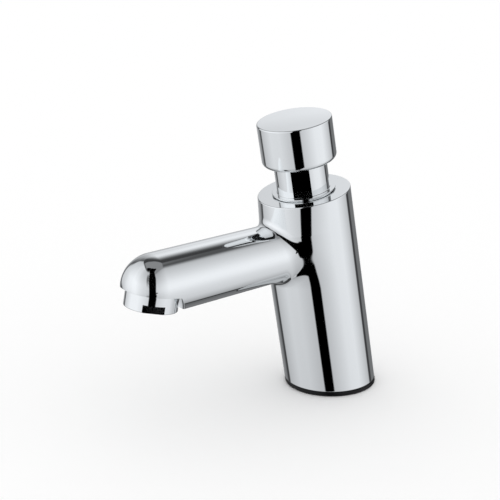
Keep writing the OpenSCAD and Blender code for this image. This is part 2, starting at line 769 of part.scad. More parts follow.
module spindle_locknut() {
    color(steel) leaned()
        hex_nut(locknut_af, spindle_d + 2 * fit_gap, boss_low_s - locknut_t, boss_low_s);
}
module piston() {
    color(acetal) leaned() tube(cylinder_d - 2 * slide_gap, spindle_d + 2 * fit_gap,
        piston_low_s, piston_low_s + piston_t);
}
module piston_cup_seal() {
    lip = cylinder_d / 2 - fit_gap;
    hub = spindle_d / 2 + fit_gap;
    color(rubber) leaned() translate([0, 0, cup_low_s]) rotate_extrude()
        polygon([[hub, cup_h], [hub, cup_h - cup_floor_t],
            [lip - cup_flare - cup_lip_t, cup_h - cup_floor_t],
            [lip - cup_lip_t, 0], [lip, 0], [lip - cup_flare, cup_h]]);
}
module piston_clips() {
    groove_d = spindle_d - 2 * clip_groove;
    color(steel) leaned() for (low = [clip_low_s, clip_high_s - clip_t])
        difference() {
            tube(clip_d, groove_d + 2 * fit_gap, low, low + clip_t);
            translate([-clip_gap / 2, -clip_d, low - eps])
                cube([clip_gap, clip_d, clip_t + 2 * eps]);
        }
}
module valve_carrier() {
    cup_d = washer_d + 2 * fit_gap;
    color(brass) leaned() difference() {
        rod(cup_d + 2 * carrier_rim_t, carrier_low_s, washer_low_s + carrier_rim_h);
        rod(cup_d, washer_low_s, lip_s);
        rod(tail_d + 2 * fit_gap, carrier_low_s - eps, washer_low_s + eps);
    }
}
module valve_washer() {
    color(rubber) leaned() tube(washer_d, tail_d + 2 * fit_gap, washer_low_s, lip_s);
}
module valve_nut() {
    color(steel) leaned()
        hex_nut(valve_nut_af, tail_d + 2 * fit_gap, valve_nut_low_s, carrier_low_s);
}

tap_body();
base_gasket();
base_insert();
base_insert_oring();
inlet_strainer();
seat_seal();
valve_seat();
cartridge_barrel();
barrel_upper_oring();
barrel_lower_oring();
web_oring();
seal_retainer();
spindle_seal();
guide_bush();
bonnet();
bonnet_oring();
return_spring();
aerator_housing();
aerator_screen();
aerator_insert();
flow_regulator();
aerator_seal();
push_cap();
cap_guide_ring();
spindle();
spindle_locknut();
piston();
piston_cup_seal();
piston_clips();
valve_carrier();
valve_washer();
valve_nut();
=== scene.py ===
"""Looks of a push timed tap: mirror chrome outside, and the working pieces inside.

Sizes are in millimetres and repeat those of the solids. The leaning axis runs up from the
middle of the base, and levels are measured along it. Bearings are in degrees, from the spout's
front towards +X, and turns are the same in radians. Metres come in only where a mesh is made.
"""

import logging
import math
from collections.abc import Iterable, Sequence
from dataclasses import dataclass
from enum import Enum
from typing import Any

import bmesh
import bpy
import numpy as np
from mathutils import Matrix, Vector
from mathutils.bvhtree import BVHTree
from mathutils.interpolate import poly_3d_calc


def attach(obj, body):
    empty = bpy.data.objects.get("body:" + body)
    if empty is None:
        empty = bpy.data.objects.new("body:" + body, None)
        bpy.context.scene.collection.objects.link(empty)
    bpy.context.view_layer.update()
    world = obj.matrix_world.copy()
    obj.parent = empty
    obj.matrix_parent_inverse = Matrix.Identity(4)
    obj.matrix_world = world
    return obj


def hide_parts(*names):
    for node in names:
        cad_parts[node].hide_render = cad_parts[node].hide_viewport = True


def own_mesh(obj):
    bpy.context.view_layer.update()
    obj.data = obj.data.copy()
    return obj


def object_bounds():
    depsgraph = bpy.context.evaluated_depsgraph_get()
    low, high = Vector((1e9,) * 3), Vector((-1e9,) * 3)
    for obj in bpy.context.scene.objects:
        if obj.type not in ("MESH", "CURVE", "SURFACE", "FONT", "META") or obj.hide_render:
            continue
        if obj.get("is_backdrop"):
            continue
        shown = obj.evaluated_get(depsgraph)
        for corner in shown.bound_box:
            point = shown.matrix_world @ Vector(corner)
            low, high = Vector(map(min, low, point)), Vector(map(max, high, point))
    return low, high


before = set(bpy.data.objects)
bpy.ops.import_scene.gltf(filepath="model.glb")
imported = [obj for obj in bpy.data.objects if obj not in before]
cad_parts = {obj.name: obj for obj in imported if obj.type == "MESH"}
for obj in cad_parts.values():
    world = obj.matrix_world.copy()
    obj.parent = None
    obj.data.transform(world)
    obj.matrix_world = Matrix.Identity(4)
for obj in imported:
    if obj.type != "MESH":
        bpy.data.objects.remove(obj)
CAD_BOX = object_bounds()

LOG = logging.getLogger("tap")
MM = 0.001
RIGHT = Vector((1, 0, 0))
BACK = Vector((0, 1, 0))
UP = Vector((0, 0, 1))
# How near points are welded, in metres, and the least value that is divided by.
WELD = 1e-7
TINY = 1e-7
# Decimals by which a place is known again, and the cosine between normals that are alike.
SAME_DIGITS = 6
SAME_WAY = 0.9999
# The material slot that marks the faces that a cutter leaves.
CUT_SLOT = 1

Piece = bpy.types.Object
Tree = bpy.types.NodeTree
Socket = bpy.types.NodeSocket
Inputs = bpy.types.NodeInputs
Outputs = bpy.types.NodeOutputs


class Body(Enum):
    """The two bodies of the tap that move against each other."""

    TAP = "tap"
    PLUNGER = "plunger"


class Slot(Enum):
    """The record's material slots."""

    CHROME = "chrome_plate"
    RUBBER = "black_rubber"
    BRASS = "turned_brass"
    STEEL = "stainless"
    ACETAL = "acetal"
    BLACK_ACETAL = "black_acetal"
    REGULATOR = "regulator_plastic"


def linear(colour: str) -> tuple[float, float, float, float]:
    """Turn an sRGB hex colour into linear light.

    Args:
        colour: The colour as "#RRGGBB".

    Returns:
        Linear red, green and blue, and an alpha of 1.
    """
    parts = [int(colour[i : i + 2], 16) / 255 for i in (1, 3, 5)]
    light = [p / 12.92 if p <= 0.04045 else ((p + 0.055) / 1.055) ** 2.4 for p in parts]
    return (light[0], light[1], light[2], 1.0)


def add_node(
    tree: Tree, kind: str, inputs: Sequence[Any] | dict[str | int, Any] = (), **settings: Any
) -> Outputs:
    """Add a shader node with its settings and links.

    Args:
        tree: The node tree that gets the node.
        kind: Blender's name for the kind of node, after its prefix.
        inputs: Values for its sockets, in order or by name, or sockets to link to them.
        settings: The node's own properties.

    Returns:
        The new node's output sockets.
    """
    node = tree.nodes.new("ShaderNode" + kind)
    for name, value in settings.items():
        setattr(node, name, value)
    for socket, value in inputs.items() if isinstance(inputs, dict) else enumerate(inputs):
        if isinstance(value, Socket):
            tree.links.new(value, node.inputs[socket])
        else:
            node.inputs[socket].default_value = value
    return node.outputs


def per_mm(size: float) -> float:
    """Give the texture scale at which one feature is this many millimetres wide."""
    return 1 / (size * MM)


def mix(a: Any, b: Any, share: Any) -> Any:
    """Give the value, or the row of values, that lies this share of the way from a to b."""
    return a + (b - a) * share


def soft_step(values: np.ndarray, low: float, high: float) -> np.ndarray:
    """Give 0 below low, 1 above high and a smooth rise between them."""
    share = np.clip((values - low) / (high - low), 0, 1)
    return share**2 * (3 - 2 * share)


def full_turn(count: int) -> list[float]:
    """Give the turns of points that are spread evenly round a circle."""
    return [2 * math.pi * i / count for i in range(count)]


def quarter(rows: int) -> list[tuple[float, float]]:
    """Give the cosine and the sine of each row across a rounded edge."""
    turns = [math.pi / 2 * k / rows for k in range(rows + 1)]
    return [(math.cos(t), math.sin(t)) for t in turns]


def round_axis(radius: float, turn: float, level: float) -> Vector:
    """Give the point at a radius, a turn and a level about an upright axis."""
    return Vector((radius * math.sin(turn), -radius * math.cos(turn), level))


def round_wire(middle: Vector, out: Vector, radius: float, sides: int) -> list[Vector]:
    """Give the points round a wire, in the upright plane through its outward direction."""
    return [middle + (out * math.cos(t) + UP * math.sin(t)) * radius for t in full_turn(sides)]


def shade(mesh: bpy.types.Mesh, sharp: float) -> None:
    """Shade a mesh smooth, apart from edges that turn by more than some degrees."""
    mesh.shade_smooth()
    mesh.set_sharp_from_angle(angle=math.radians(sharp))


class MeshDraft:
    """Rows of points in millimetres that are joined into one closed skin."""

    def __init__(self) -> None:
        """Start with nothing."""
        self.points: list[Vector] = []
        self.normals: list[Vector] = []
        self.faces: list[tuple[int, ...]] = []

    def row(self, points: Iterable[Vector], normals: Iterable[Vector] = ()) -> list[int]:
        """Add a row of points.

        Args:
            points: The places.
            normals: The true surface normals there, or nothing where edges are sharp.

        Returns:
            The points' numbers.
        """
        start = len(self.points)
        self.points.extend(points)
        self.normals.extend(normals)
        missing = len(self.points) - len(self.normals)
        self.normals.extend(Vector() for _ in range(missing))
        return list(range(start, len(self.points)))

    def loft(self, rows: Sequence[Sequence[int]], closed: bool = True) -> None:
        """Join each row to the next one by quads.

        Args:
            rows: The rows' numbers, as many in each.
            closed: Whether a row's last point joins its first one again.
        """
        for first, second in zip(rows, rows[1:]):
            for i in range(len(first) - (not closed)):
                j = (i + 1) % len(first)
                self.faces.append((first[i], first[j], second[j], second[i]))

    def tube(self, rows: Sequence[Sequence[int]]) -> None:
        """Join rows and close both ends by a flat face."""
        self.loft(rows)
        self.faces.extend((tuple(rows[0]), tuple(rows[-1])))

    def close(self, row: Sequence[int], tip: Vector, closed: bool = True) -> None:
        """Close a row by triangles to one point.

        Args:
            row: Numbers of the row.
            tip: The point.
            closed: Whether the last point joins the first one again.
        """
        end = self.row([tip])[0]
        for i in range(len(row) - (not closed)):
            self.faces.append((row[i], row[(i + 1) % len(row)], end))

    def build(self, name: str, sharp: float = 30) -> Piece:
        """Make the object, in metres, shaded by the true normals.

        Args:
            name: The object's name.
            sharp: Edges that turn by more than this many degrees are sharp.

        Returns:
            The new object, in the scene.
        """
        made = bmesh.new()
        layer = made.verts.layers.float_vector.new("true_normal")
        verts = []
        for point, normal in zip(self.points, self.normals):
            vert = made.verts.new(point * MM)
            vert[layer] = normal
            verts.append(vert)
        for face in self.faces:
            made.faces.new([verts[i] for i in face])
        bmesh.ops.remove_doubles(made, verts=made.verts, dist=WELD)
        bmesh.ops.recalc_face_normals(made, faces=made.faces)
        mesh = bpy.data.meshes.new(name)
        made.to_mesh(mesh)
        made.free()
        piece = bpy.data.objects.new(name, mesh)
        bpy.context.scene.collection.objects.link(piece)
        true_normals = [Vector(v.vector) for v in mesh.attributes["true_normal"].data]
        mesh.attributes.remove(mesh.attributes["true_normal"])
        shade(mesh, sharp)
        mesh.normals_split_custom_set([true_normals[loop.vertex_index] for loop in mesh.loops])
        return piece


@dataclass(frozen=True)
class Corner:
    """One corner of a turned outline: its radius and level, and how it is rounded."""

    radius: float
    level: float
    rounding: float = 0.0


@dataclass(frozen=True)
class Turned:
    """A turned piece: an outline that goes up on the outside and down on the inside.

    Attributes:
        corners: The outline's corners, counter-clockwise with the axis on the left.
        ring: Whether the outline closes on itself, and doesn't end on the axis.
        segments: How many points a full turn has.
        arc_step: Degrees between points on a rounded corner.
        least_steps: How many steps a rounded corner has at least.
    """

    corners: tuple[Corner, ...]
    ring: bool = True
    segments: int = 240
    arc_step: float = 6.0
    least_steps: int = 2

    def outline(self) -> list[tuple[Vector, Vector]]:
        """Work out the outline's points.

        Returns:
            Pairs of a point and its normal, both as radius and level. The normal is zero
            at a sharp corner.
        """
        made = []
        spots = [Vector((c.radius, c.level)) for c in self.corners]
        for i, corner in enumerate(self.corners):
            if corner.rounding == 0:
                made.append((spots[i], Vector((0, 0))))
                continue
            into = (spots[i] - spots[i - 1]).normalized()
            out = (spots[(i + 1) % len(spots)] - spots[i]).normalized()
            turn = into.angle_signed(out)
            first = Vector((into.y, -into.x))
            back = corner.rounding * math.tan(abs(turn) / 2)
            side = 1 if turn < 0 else -1
            centre = spots[i] - into * back - first * corner.rounding * side
            steps = max(self.least_steps, round(math.degrees(abs(turn)) / self.arc_step))
            for k in range(steps + 1):
                normal = first.copy()
                normal.rotate(Matrix.Rotation(-turn * k / steps, 2))
                made.append((centre + normal * corner.rounding * side, normal))
        return made

    def build(self, name: str, place: Matrix) -> Piece:
        """Turn the outline about its axis.

        Args:
            name: The object's name.
            place: Puts the axis in its place, in millimetres.

        Returns:
            The new object.
        """
        draft = MeshDraft()
        turns = full_turn(self.segments)
        spin = place.to_3x3()
        rows = []
        for point, normal in self.outline():
            if point.x == 0:
                rows.append(place @ (UP * point.y))
                continue
            circle = [place @ round_axis(point.x, t, point.y) for t in turns]
            rows.append(draft.row(circle, [spin @ round_axis(normal.x, t, normal.y) for t in turns]))
        for first, second in zip(rows, rows[1:]):
            if isinstance(first, Vector):
                draft.close(second, first)
            elif isinstance(second, Vector):
                draft.close(first, second)
            else:
                draft.loft((first, second))
        if self.ring:
            draft.loft((rows[-1], rows[0]))
        return draft.build(name)


def spanner_flats(width: float, bearing: float, low: float, high: float, place: Matrix) -> list[Piece]:
    """Make the two blocks that cut a pair of spanner flats.

    Args:
        width: The width left across the flats.
        bearing: Where one flat faces.
        low: The blocks' lower level.
        high: The blocks' upper level.
        place: Puts the axis in its place.

    Returns:
        The two blocks.
    """
    near = width / 2
    corners = ((near, -width), (width, -width), (width, width), (near, width))
    blocks = []
    for side in (0, 180):
        turn = place @ Matrix.Rotation(math.radians(bearing - 90 + side), 4, "Z")
        draft = MeshDraft()
        draft.tube([draft.row([turn @ Vector((*c, level)) for c in corners]) for level in (low, high)])
        blocks.append(draft.build("cutter"))
    return blocks


def carve(piece: Piece, cutters: Sequence[Piece], sharp: float, plane: bool = False) -> None:
    """Cut solids out of a piece, and keep the true shading of what is left.

    Args:
        piece: The piece.
        cutters: The solids, which are used up.
        sharp: Edges that turn by more than this many degrees are sharp.
        plane: Whether the cuts are plane faces.
    """

    def spot(place: Vector) -> tuple[float, ...]:
        """Round a place, so that it is found again after the cut."""
        return tuple(round(x, SAME_DIGITS) for x in place)

    old = piece.data
    facing = [normal.vector.copy() for normal in old.corner_normals]
    first: dict[int, Vector] = {}
    edges: set[int] = set()
    for loop, normal in zip(old.loops, facing):
        if first.setdefault(loop.vertex_index, normal).dot(normal) < SAME_WAY:
            edges.add(loop.vertex_index)
    known = {spot(v.co): Vector() if v.index in edges else first[v.index] for v in old.vertices}
    skin = BVHTree.FromPolygons([v.co for v in old.vertices], [p.vertices[:] for p in old.polygons])
    for mesh in [old] + [c.data for c in cutters]:
        mesh.materials.append(None)
        mesh.materials.append(None)
    for cutter in cutters:
        cutter.data.polygons.foreach_set("material_index", [CUT_SLOT] * len(cutter.data.polygons))
        cut = piece.modifiers.new("cut", "BOOLEAN")
        cut.operation = "DIFFERENCE"
        cut.solver = "EXACT"
        cut.object = cutter
    depsgraph = bpy.context.evaluated_depsgraph_get()
    mesh = bpy.data.meshes.new_from_object(piece.evaluated_get(depsgraph))
    piece.modifiers.clear()
    for cutter in cutters:
        bpy.data.objects.remove(cutter)
    shade(mesh, sharp)

    def true_normal(place: Vector) -> Vector:
        """Find the old surface's normal.

        Args:
            place: A point on it.

        Returns:
            The unit normal, or zero on a sharp edge.
        """
        near = known.get(spot(place))
        if near is not None:
            return near
        face = old.polygons[skin.find_nearest(place)[2]]
        shares = poly_3d_calc([old.vertices[i].co for i in face.vertices], place)
        parts = [facing[i] * share for i, share in zip(face.loop_indices, shares)]
        return sum(parts, Vector()).normalized()

    normals = [Vector() for _ in mesh.loops]
    for face in mesh.polygons:
        for loop in face.loop_indices:
            if face.material_index != CUT_SLOT:
                normals[loop] = true_normal(mesh.vertices[mesh.loops[loop].vertex_index].co)
            elif plane:
                normals[loop] = face.normal.copy()
    mesh.normals_split_custom_set(normals)
    mesh.polygons.foreach_set("material_index", [0] * len(mesh.polygons))
    mesh.materials.clear()
    piece.data = mesh
    bpy.data.meshes.remove(old)


@dataclass(frozen=True)
class Coat:
    """A material's node tree and its shader's sockets, into which patterns are painted."""

    tree: Tree
    shader: Inputs

    def patches(self, size: float, detail: int) -> Socket:
        """Add a soft pattern that lies on the piece.

        Args:
            size: How wide its features are, in millimetres.
            detail: How many finer patterns it holds.

        Returns:
            The socket that holds it.
        """
        place = add_node(self.tree, "TexCoord")["Object"]
        noise = {"Vector": place, "Scale": per_mm(size), "Detail": detail}
        return add_node(self.tree, "TexNoise", noise)["Fac"]

    def blotch(self, colour: str, other: str, pattern: Socket) -> None:
        """Let the base colour run into another one.

        Args:
            colour: The base colour.
            other: The colour where the pattern is high.
            pattern: The pattern.
        """
        colours = {"Factor": pattern, 6: linear(colour), 7: linear(other)}
        mixed = add_node(self.tree, "Mix", colours, data_type="RGBA")[2]
        self.tree.links.new(mixed, self.shader["Base Color"])

    def emboss(self, pattern: Socket, height: float) -> None:
        """Raise a pattern out of the surface by some millimetres."""
        relief = {"Strength": 1.0, "Distance": height * MM, "Height": pattern}
        self.tree.links.new(add_node(self.tree, "Bump", relief)["Normal"], self.shader["Normal"])


@dataclass(frozen=True)
class Finish:
    """What all finishes share: a name, a slot, a base colour and a roughness."""

    name: str
    slot: Slot
    colour: str
    roughness: float
    metallic: float = 0.0

    def material(self) -> bpy.types.Material:
        """Give the material, which is made on its first use.

        Returns:
            The material.
        """
        made = bpy.data.materials.get(self.name)
        if made is None:
            made = bpy.data.materials.new(self.name)
            made.use_nodes = True
            made.diffuse_color = linear(self.colour)
            shader = made.node_tree.nodes["Principled BSDF"].inputs
            shader["Base Color"].default_value = linear(self.colour)
            shader["Roughness"].default_value = self.roughness
            shader["Metallic"].default_value = self.metallic
            self.paint(Coat(made.node_tree, shader))
        return made

    def paint(self, coat: Coat) -> None:
        """Paint the finish's own patterns into a coat: a plain finish has none."""


@dataclass(frozen=True)
class PolishedChrome(Finish):
    """Bright chromium plate on buffed brass.

    It mirrors its surroundings with a slight blue cast. Buffing leaves faint haze in patches
    and a very slight waviness in long reflections.
    """

    name: str = "polished_chrome_plate"
    slot: Slot = Slot.CHROME
    colour: str = "#F2F4F5"
    roughness: float = 0.035
    metallic: float = 1.0
    haze_mm: float = 14.0
    haze_span: tuple[float, float] = (0.35, 0.75)
    haze_high: float = 0.06
    wave_mm: float = 22.0
    wave_height_mm: float = 0.012

    def paint(self, coat: Coat) -> None:
        """Paint the buffing haze and the waviness.

        Args:
            coat: The material's nodes.
        """
        levels = (coat.patches(self.haze_mm, detail=4), *self.haze_span, self.roughness, self.haze_high)
        coat.tree.links.new(add_node(coat.tree, "MapRange", levels)[0], coat.shader["Roughness"])
        coat.emboss(coat.patches(self.wave_mm, detail=0), self.wave_height_mm)


@dataclass(frozen=True)
class MouldedRubber(Finish):
    """Black rubber, moulded against a fine-blasted tool.

    It is nearly black with a soft sheen, a fine grain and a faint grey bloom in patches. The
    grain is drawn coarser than the real one, so that it shows.
    """

    name: str = "moulded_black_rubber"
    slot: Slot = Slot.RUBBER
    colour: str = "#050506"
    bloom: str = "#0A0A0C"
    roughness: float = 0.3
    sheen: float = 0.22
    bloom_mm: float = 6.0
    grain_mm: float = 0.35
    grain_height_mm: float = 0.02

    def paint(self, coat: Coat) -> None:
        """Paint the sheen, the bloom and the moulded grain.

        Args:
            coat: The material's nodes.
        """
        coat.shader["Specular IOR Level"].default_value = self.sheen
        coat.blotch(self.colour, self.bloom, coat.patches(self.bloom_mm, detail=5))
        coat.emboss(coat.patches(self.grain_mm, detail=2), self.grain_height_mm)


@dataclass(frozen=True)
class MachinedMetal(Finish):
    """Bare metal as it comes off the lathe.

    The tool leaves fine rings round the axis, drawn coarser than the real ones so that they
    show, and handling dulls the metal in patches.
    """

    tarnish: str = "#000000"
    tarnish_mm: float = 5.0
    ring_mm: float = 0.5
    ring_height_mm: float = 0.012
    ring_wander: float = 0.4

    def paint(self, coat: Coat) -> None:
        """Paint the dull patches and the tool's rings.

        Args:
            coat: The material's nodes.
        """
        coat.blotch(self.colour, self.tarnish, coat.patches(self.tarnish_mm, detail=4))
        place = add_node(coat.tree, "TexCoord")["Object"]
        scale = per_mm(self.ring_mm) / (2 * math.pi)
        bands = {"Vector": place, "Scale": scale, "Distortion": self.ring_wander}
        rings = add_node(coat.tree, "TexWave", bands, wave_type="BANDS", bands_direction="Z")["Fac"]
        coat.emboss(rings, self.ring_height_mm)


@dataclass(frozen=True)
class MouldedPlastic(Finish):
    """Injection-moulded plastic with a satin skin that lets a little light in.

    Its colour clouds a little where the melt flowed, and the skin has a very fine grain, drawn
    coarser than the real one so that it shows.
    """

    cloud: str = "#FFFFFF"
    cloud_mm: float = 8.0
    grain_mm: float = 0.3
    grain_height_mm: float = 0.006
    depth: float = 0.1
    depth_mm: float = 1.0

    def paint(self, coat: Coat) -> None:
        """Paint the depth, the clouding and the grain.

        Args:
            coat: The material's nodes.
        """
        coat.shader["Subsurface Weight"].default_value = self.depth
        coat.shader["Subsurface Scale"].default_value = self.depth_mm * MM
        coat.blotch(self.colour, self.cloud, coat.patches(self.cloud_mm, detail=3))
        coat.emboss(coat.patches(self.grain_mm, detail=2), self.grain_height_mm)


CHROME = PolishedChrome()
RUBBER = MouldedRubber()
# Brass is warm yellow and goes brown where it is handled, stainless steel is a cool bright grey.
BRASS = MachinedMetal("turned_brass", Slot.BRASS, "#CDAE72", 0.3, 1.0, tarnish="#B08E52")
STEEL = MachinedMetal("drawn_stainless_steel", Slot.STEEL, "#CFD0D2", 0.26, 1.0, tarnish="#B4B6B9")
# Acetal is an even, waxy white or black, and the regulator's plastic an opaque yellow.
ACETAL = MouldedPlastic("moulded_white_acetal", Slot.ACETAL, "#ECEBE6", 0.42, cloud="#F4F3EF")
BLACK_ACETAL = MouldedPlastic("moulded_black_acetal", Slot.BLACK_ACETAL, "#0E0E10", 0.42, cloud="#141416")
REGULATOR = MouldedPlastic("moulded_regulator_plastic", Slot.REGULATOR, "#CDB86A", 0.35, cloud="#D8C57C")


def dress(piece: Piece, finish: Finish, body: Body, *nodes: str) -> None:
    """Give a piece its finish and body, and report it.

    Args:
        piece: The piece.
        finish: Its finish.
        body: The body that it moves with.
        nodes: The solids that it stands for.
    """
    piece.data.materials.append(finish.material())
    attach(piece, body.value)
    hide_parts(*nodes)
    LOG.info("%s: %d faces, stands for %s", piece.name, len(piece.data.polygons), ", ".join(nodes))


@dataclass(frozen=True)
class LeaningAxis:
    """The axis that the body, the stem and the cap share, which leans towards the spout."""

    lean: float = 10.0

    @property
    def angle(self) -> float:
        """The lean in radians."""
        return math.radians(self.lean)

    @property
    def place(self) -> Matrix:
        """The matrix that leans what stands upright."""
        return Matrix.Rotation(self.angle, 4, "X")

    @property
    def direction(self) -> Vector:
        """The way up along the axis."""
        return self.place.to_3x3() @ UP


AXIS = LeaningAxis()


@dataclass(frozen=True)
class Spout:
    """The spout's skin: an ellipse that grows a little from the body to a domed nose."""

    body_r: float = 22.7
    reach: float = 102.5
    root_z: float = 74.9
    fall: float = 2.9
    root_w: float = 29.4
    root_h: float = 28.3
    nose_w: float = 29.6
    nose_h: float = 29.6
    nose_l: float = 15.03
    nose_swell: float = 0.03
    nose_front: tuple[float, float] = (0.62, 0.9)
    nose_tip: tuple[float, float] = (0.9, 1.0)
    fillet_r: float = 4.5

    @property
    def slope(self) -> float:
        """How much the middle line rises for each millimetre towards the body."""
        return math.tan(math.radians(self.fall))

    def half_sizes(self, y: Any) -> tuple[Any, Any]:
        """Half the width and half the height of the section at y."""
        share = (-y - self.body_r) / (self.reach - self.body_r)
        return mix(self.root_w, self.nose_w, share) / 2, mix(self.root_h, self.nose_h, share) / 2

    def middle_z(self, y: Any) -> Any:
        """Height of the section's middle at y."""
        return self.root_z + (y + self.body_r) * self.slope

    def point(self, angle: float, y: float, shrink: float = 1.0) -> Vector:
        """Give a point of the skin.

        Args:
            angle: Place round the section, in radians from +X upwards.
            y: Place along the spout.
            shrink: How much the dome has drawn the section in.

        Returns:
            The point.
        """
        half_w, half_h = self.half_sizes(y)
        rise = half_h * shrink * math.sin(angle)
        return Vector((half_w * shrink * math.cos(angle), y, self.middle_z(y) + rise))

    def normal(self, place: Vector) -> Vector:
        """Give the normal at a point of the tube.

        Args:
            place: The point.

        Returns:
            The unit normal, which points out of the metal.
        """
        half_w, half_h = self.half_sizes(place.y)
        length = self.reach - self.body_r
        w_slope = -(self.nose_w - self.root_w) / 2 / length
        h_slope = -(self.nose_h - self.root_h) / 2 / length
        side = place.x / half_w
        rise = (place.z - self.middle_z(place.y)) / half_h
        along = side**2 * w_slope / half_w + rise**2 * h_slope / half_h + rise * self.slope / half_h
        return Vector((side / half_w, -along, rise / half_h)).normalized()

    def ball(self, angle: float, y: float) -> Vector:
        """Middle of the fillet's ball where it touches the skin at this place."""
        touch = self.point(angle, y)
        return touch + self.fillet_r * self.normal(touch)

    def touch_y(self, angle: float, steps: int = 40) -> float:
        """Find where the ball that rolls round the root touches the spout.

        Args:
            angle: Place round the section.
            steps: How often the interval is halved.

        Returns:
            The place along the spout.
        """
        near = -self.root_z * math.tan(AXIS.angle)
        far = -self.reach
        for _ in range(steps):
            middle = (near + far) / 2
            ball = self.ball(angle, middle)
            apart = (ball - ball.dot(AXIS.direction) * AXIS.direction).length
            if apart < self.body_r + self.fillet_r:
                near = middle
            else:
                far = middle
        return (near + far) / 2


SPOUT = Spout()


@dataclass(frozen=True)
class OutletPlace:
    """Where the outlet's tilted axis stands: its origin is the middle of the mouth."""

    drop: float = 11.0
    tilt: float = 10.5

    @property
    def place(self) -> Matrix:
        """The matrix that puts an upright outlet in its place."""
        nose = Vector((0, -SPOUT.reach, SPOUT.middle_z(-SPOUT.reach)))
        turn = Matrix.Rotation(math.radians(-self.tilt), 4, "X")
        return Matrix.Translation(nose) @ turn @ Matrix.Translation((0, 0, -self.drop))


OUTLET = OutletPlace()


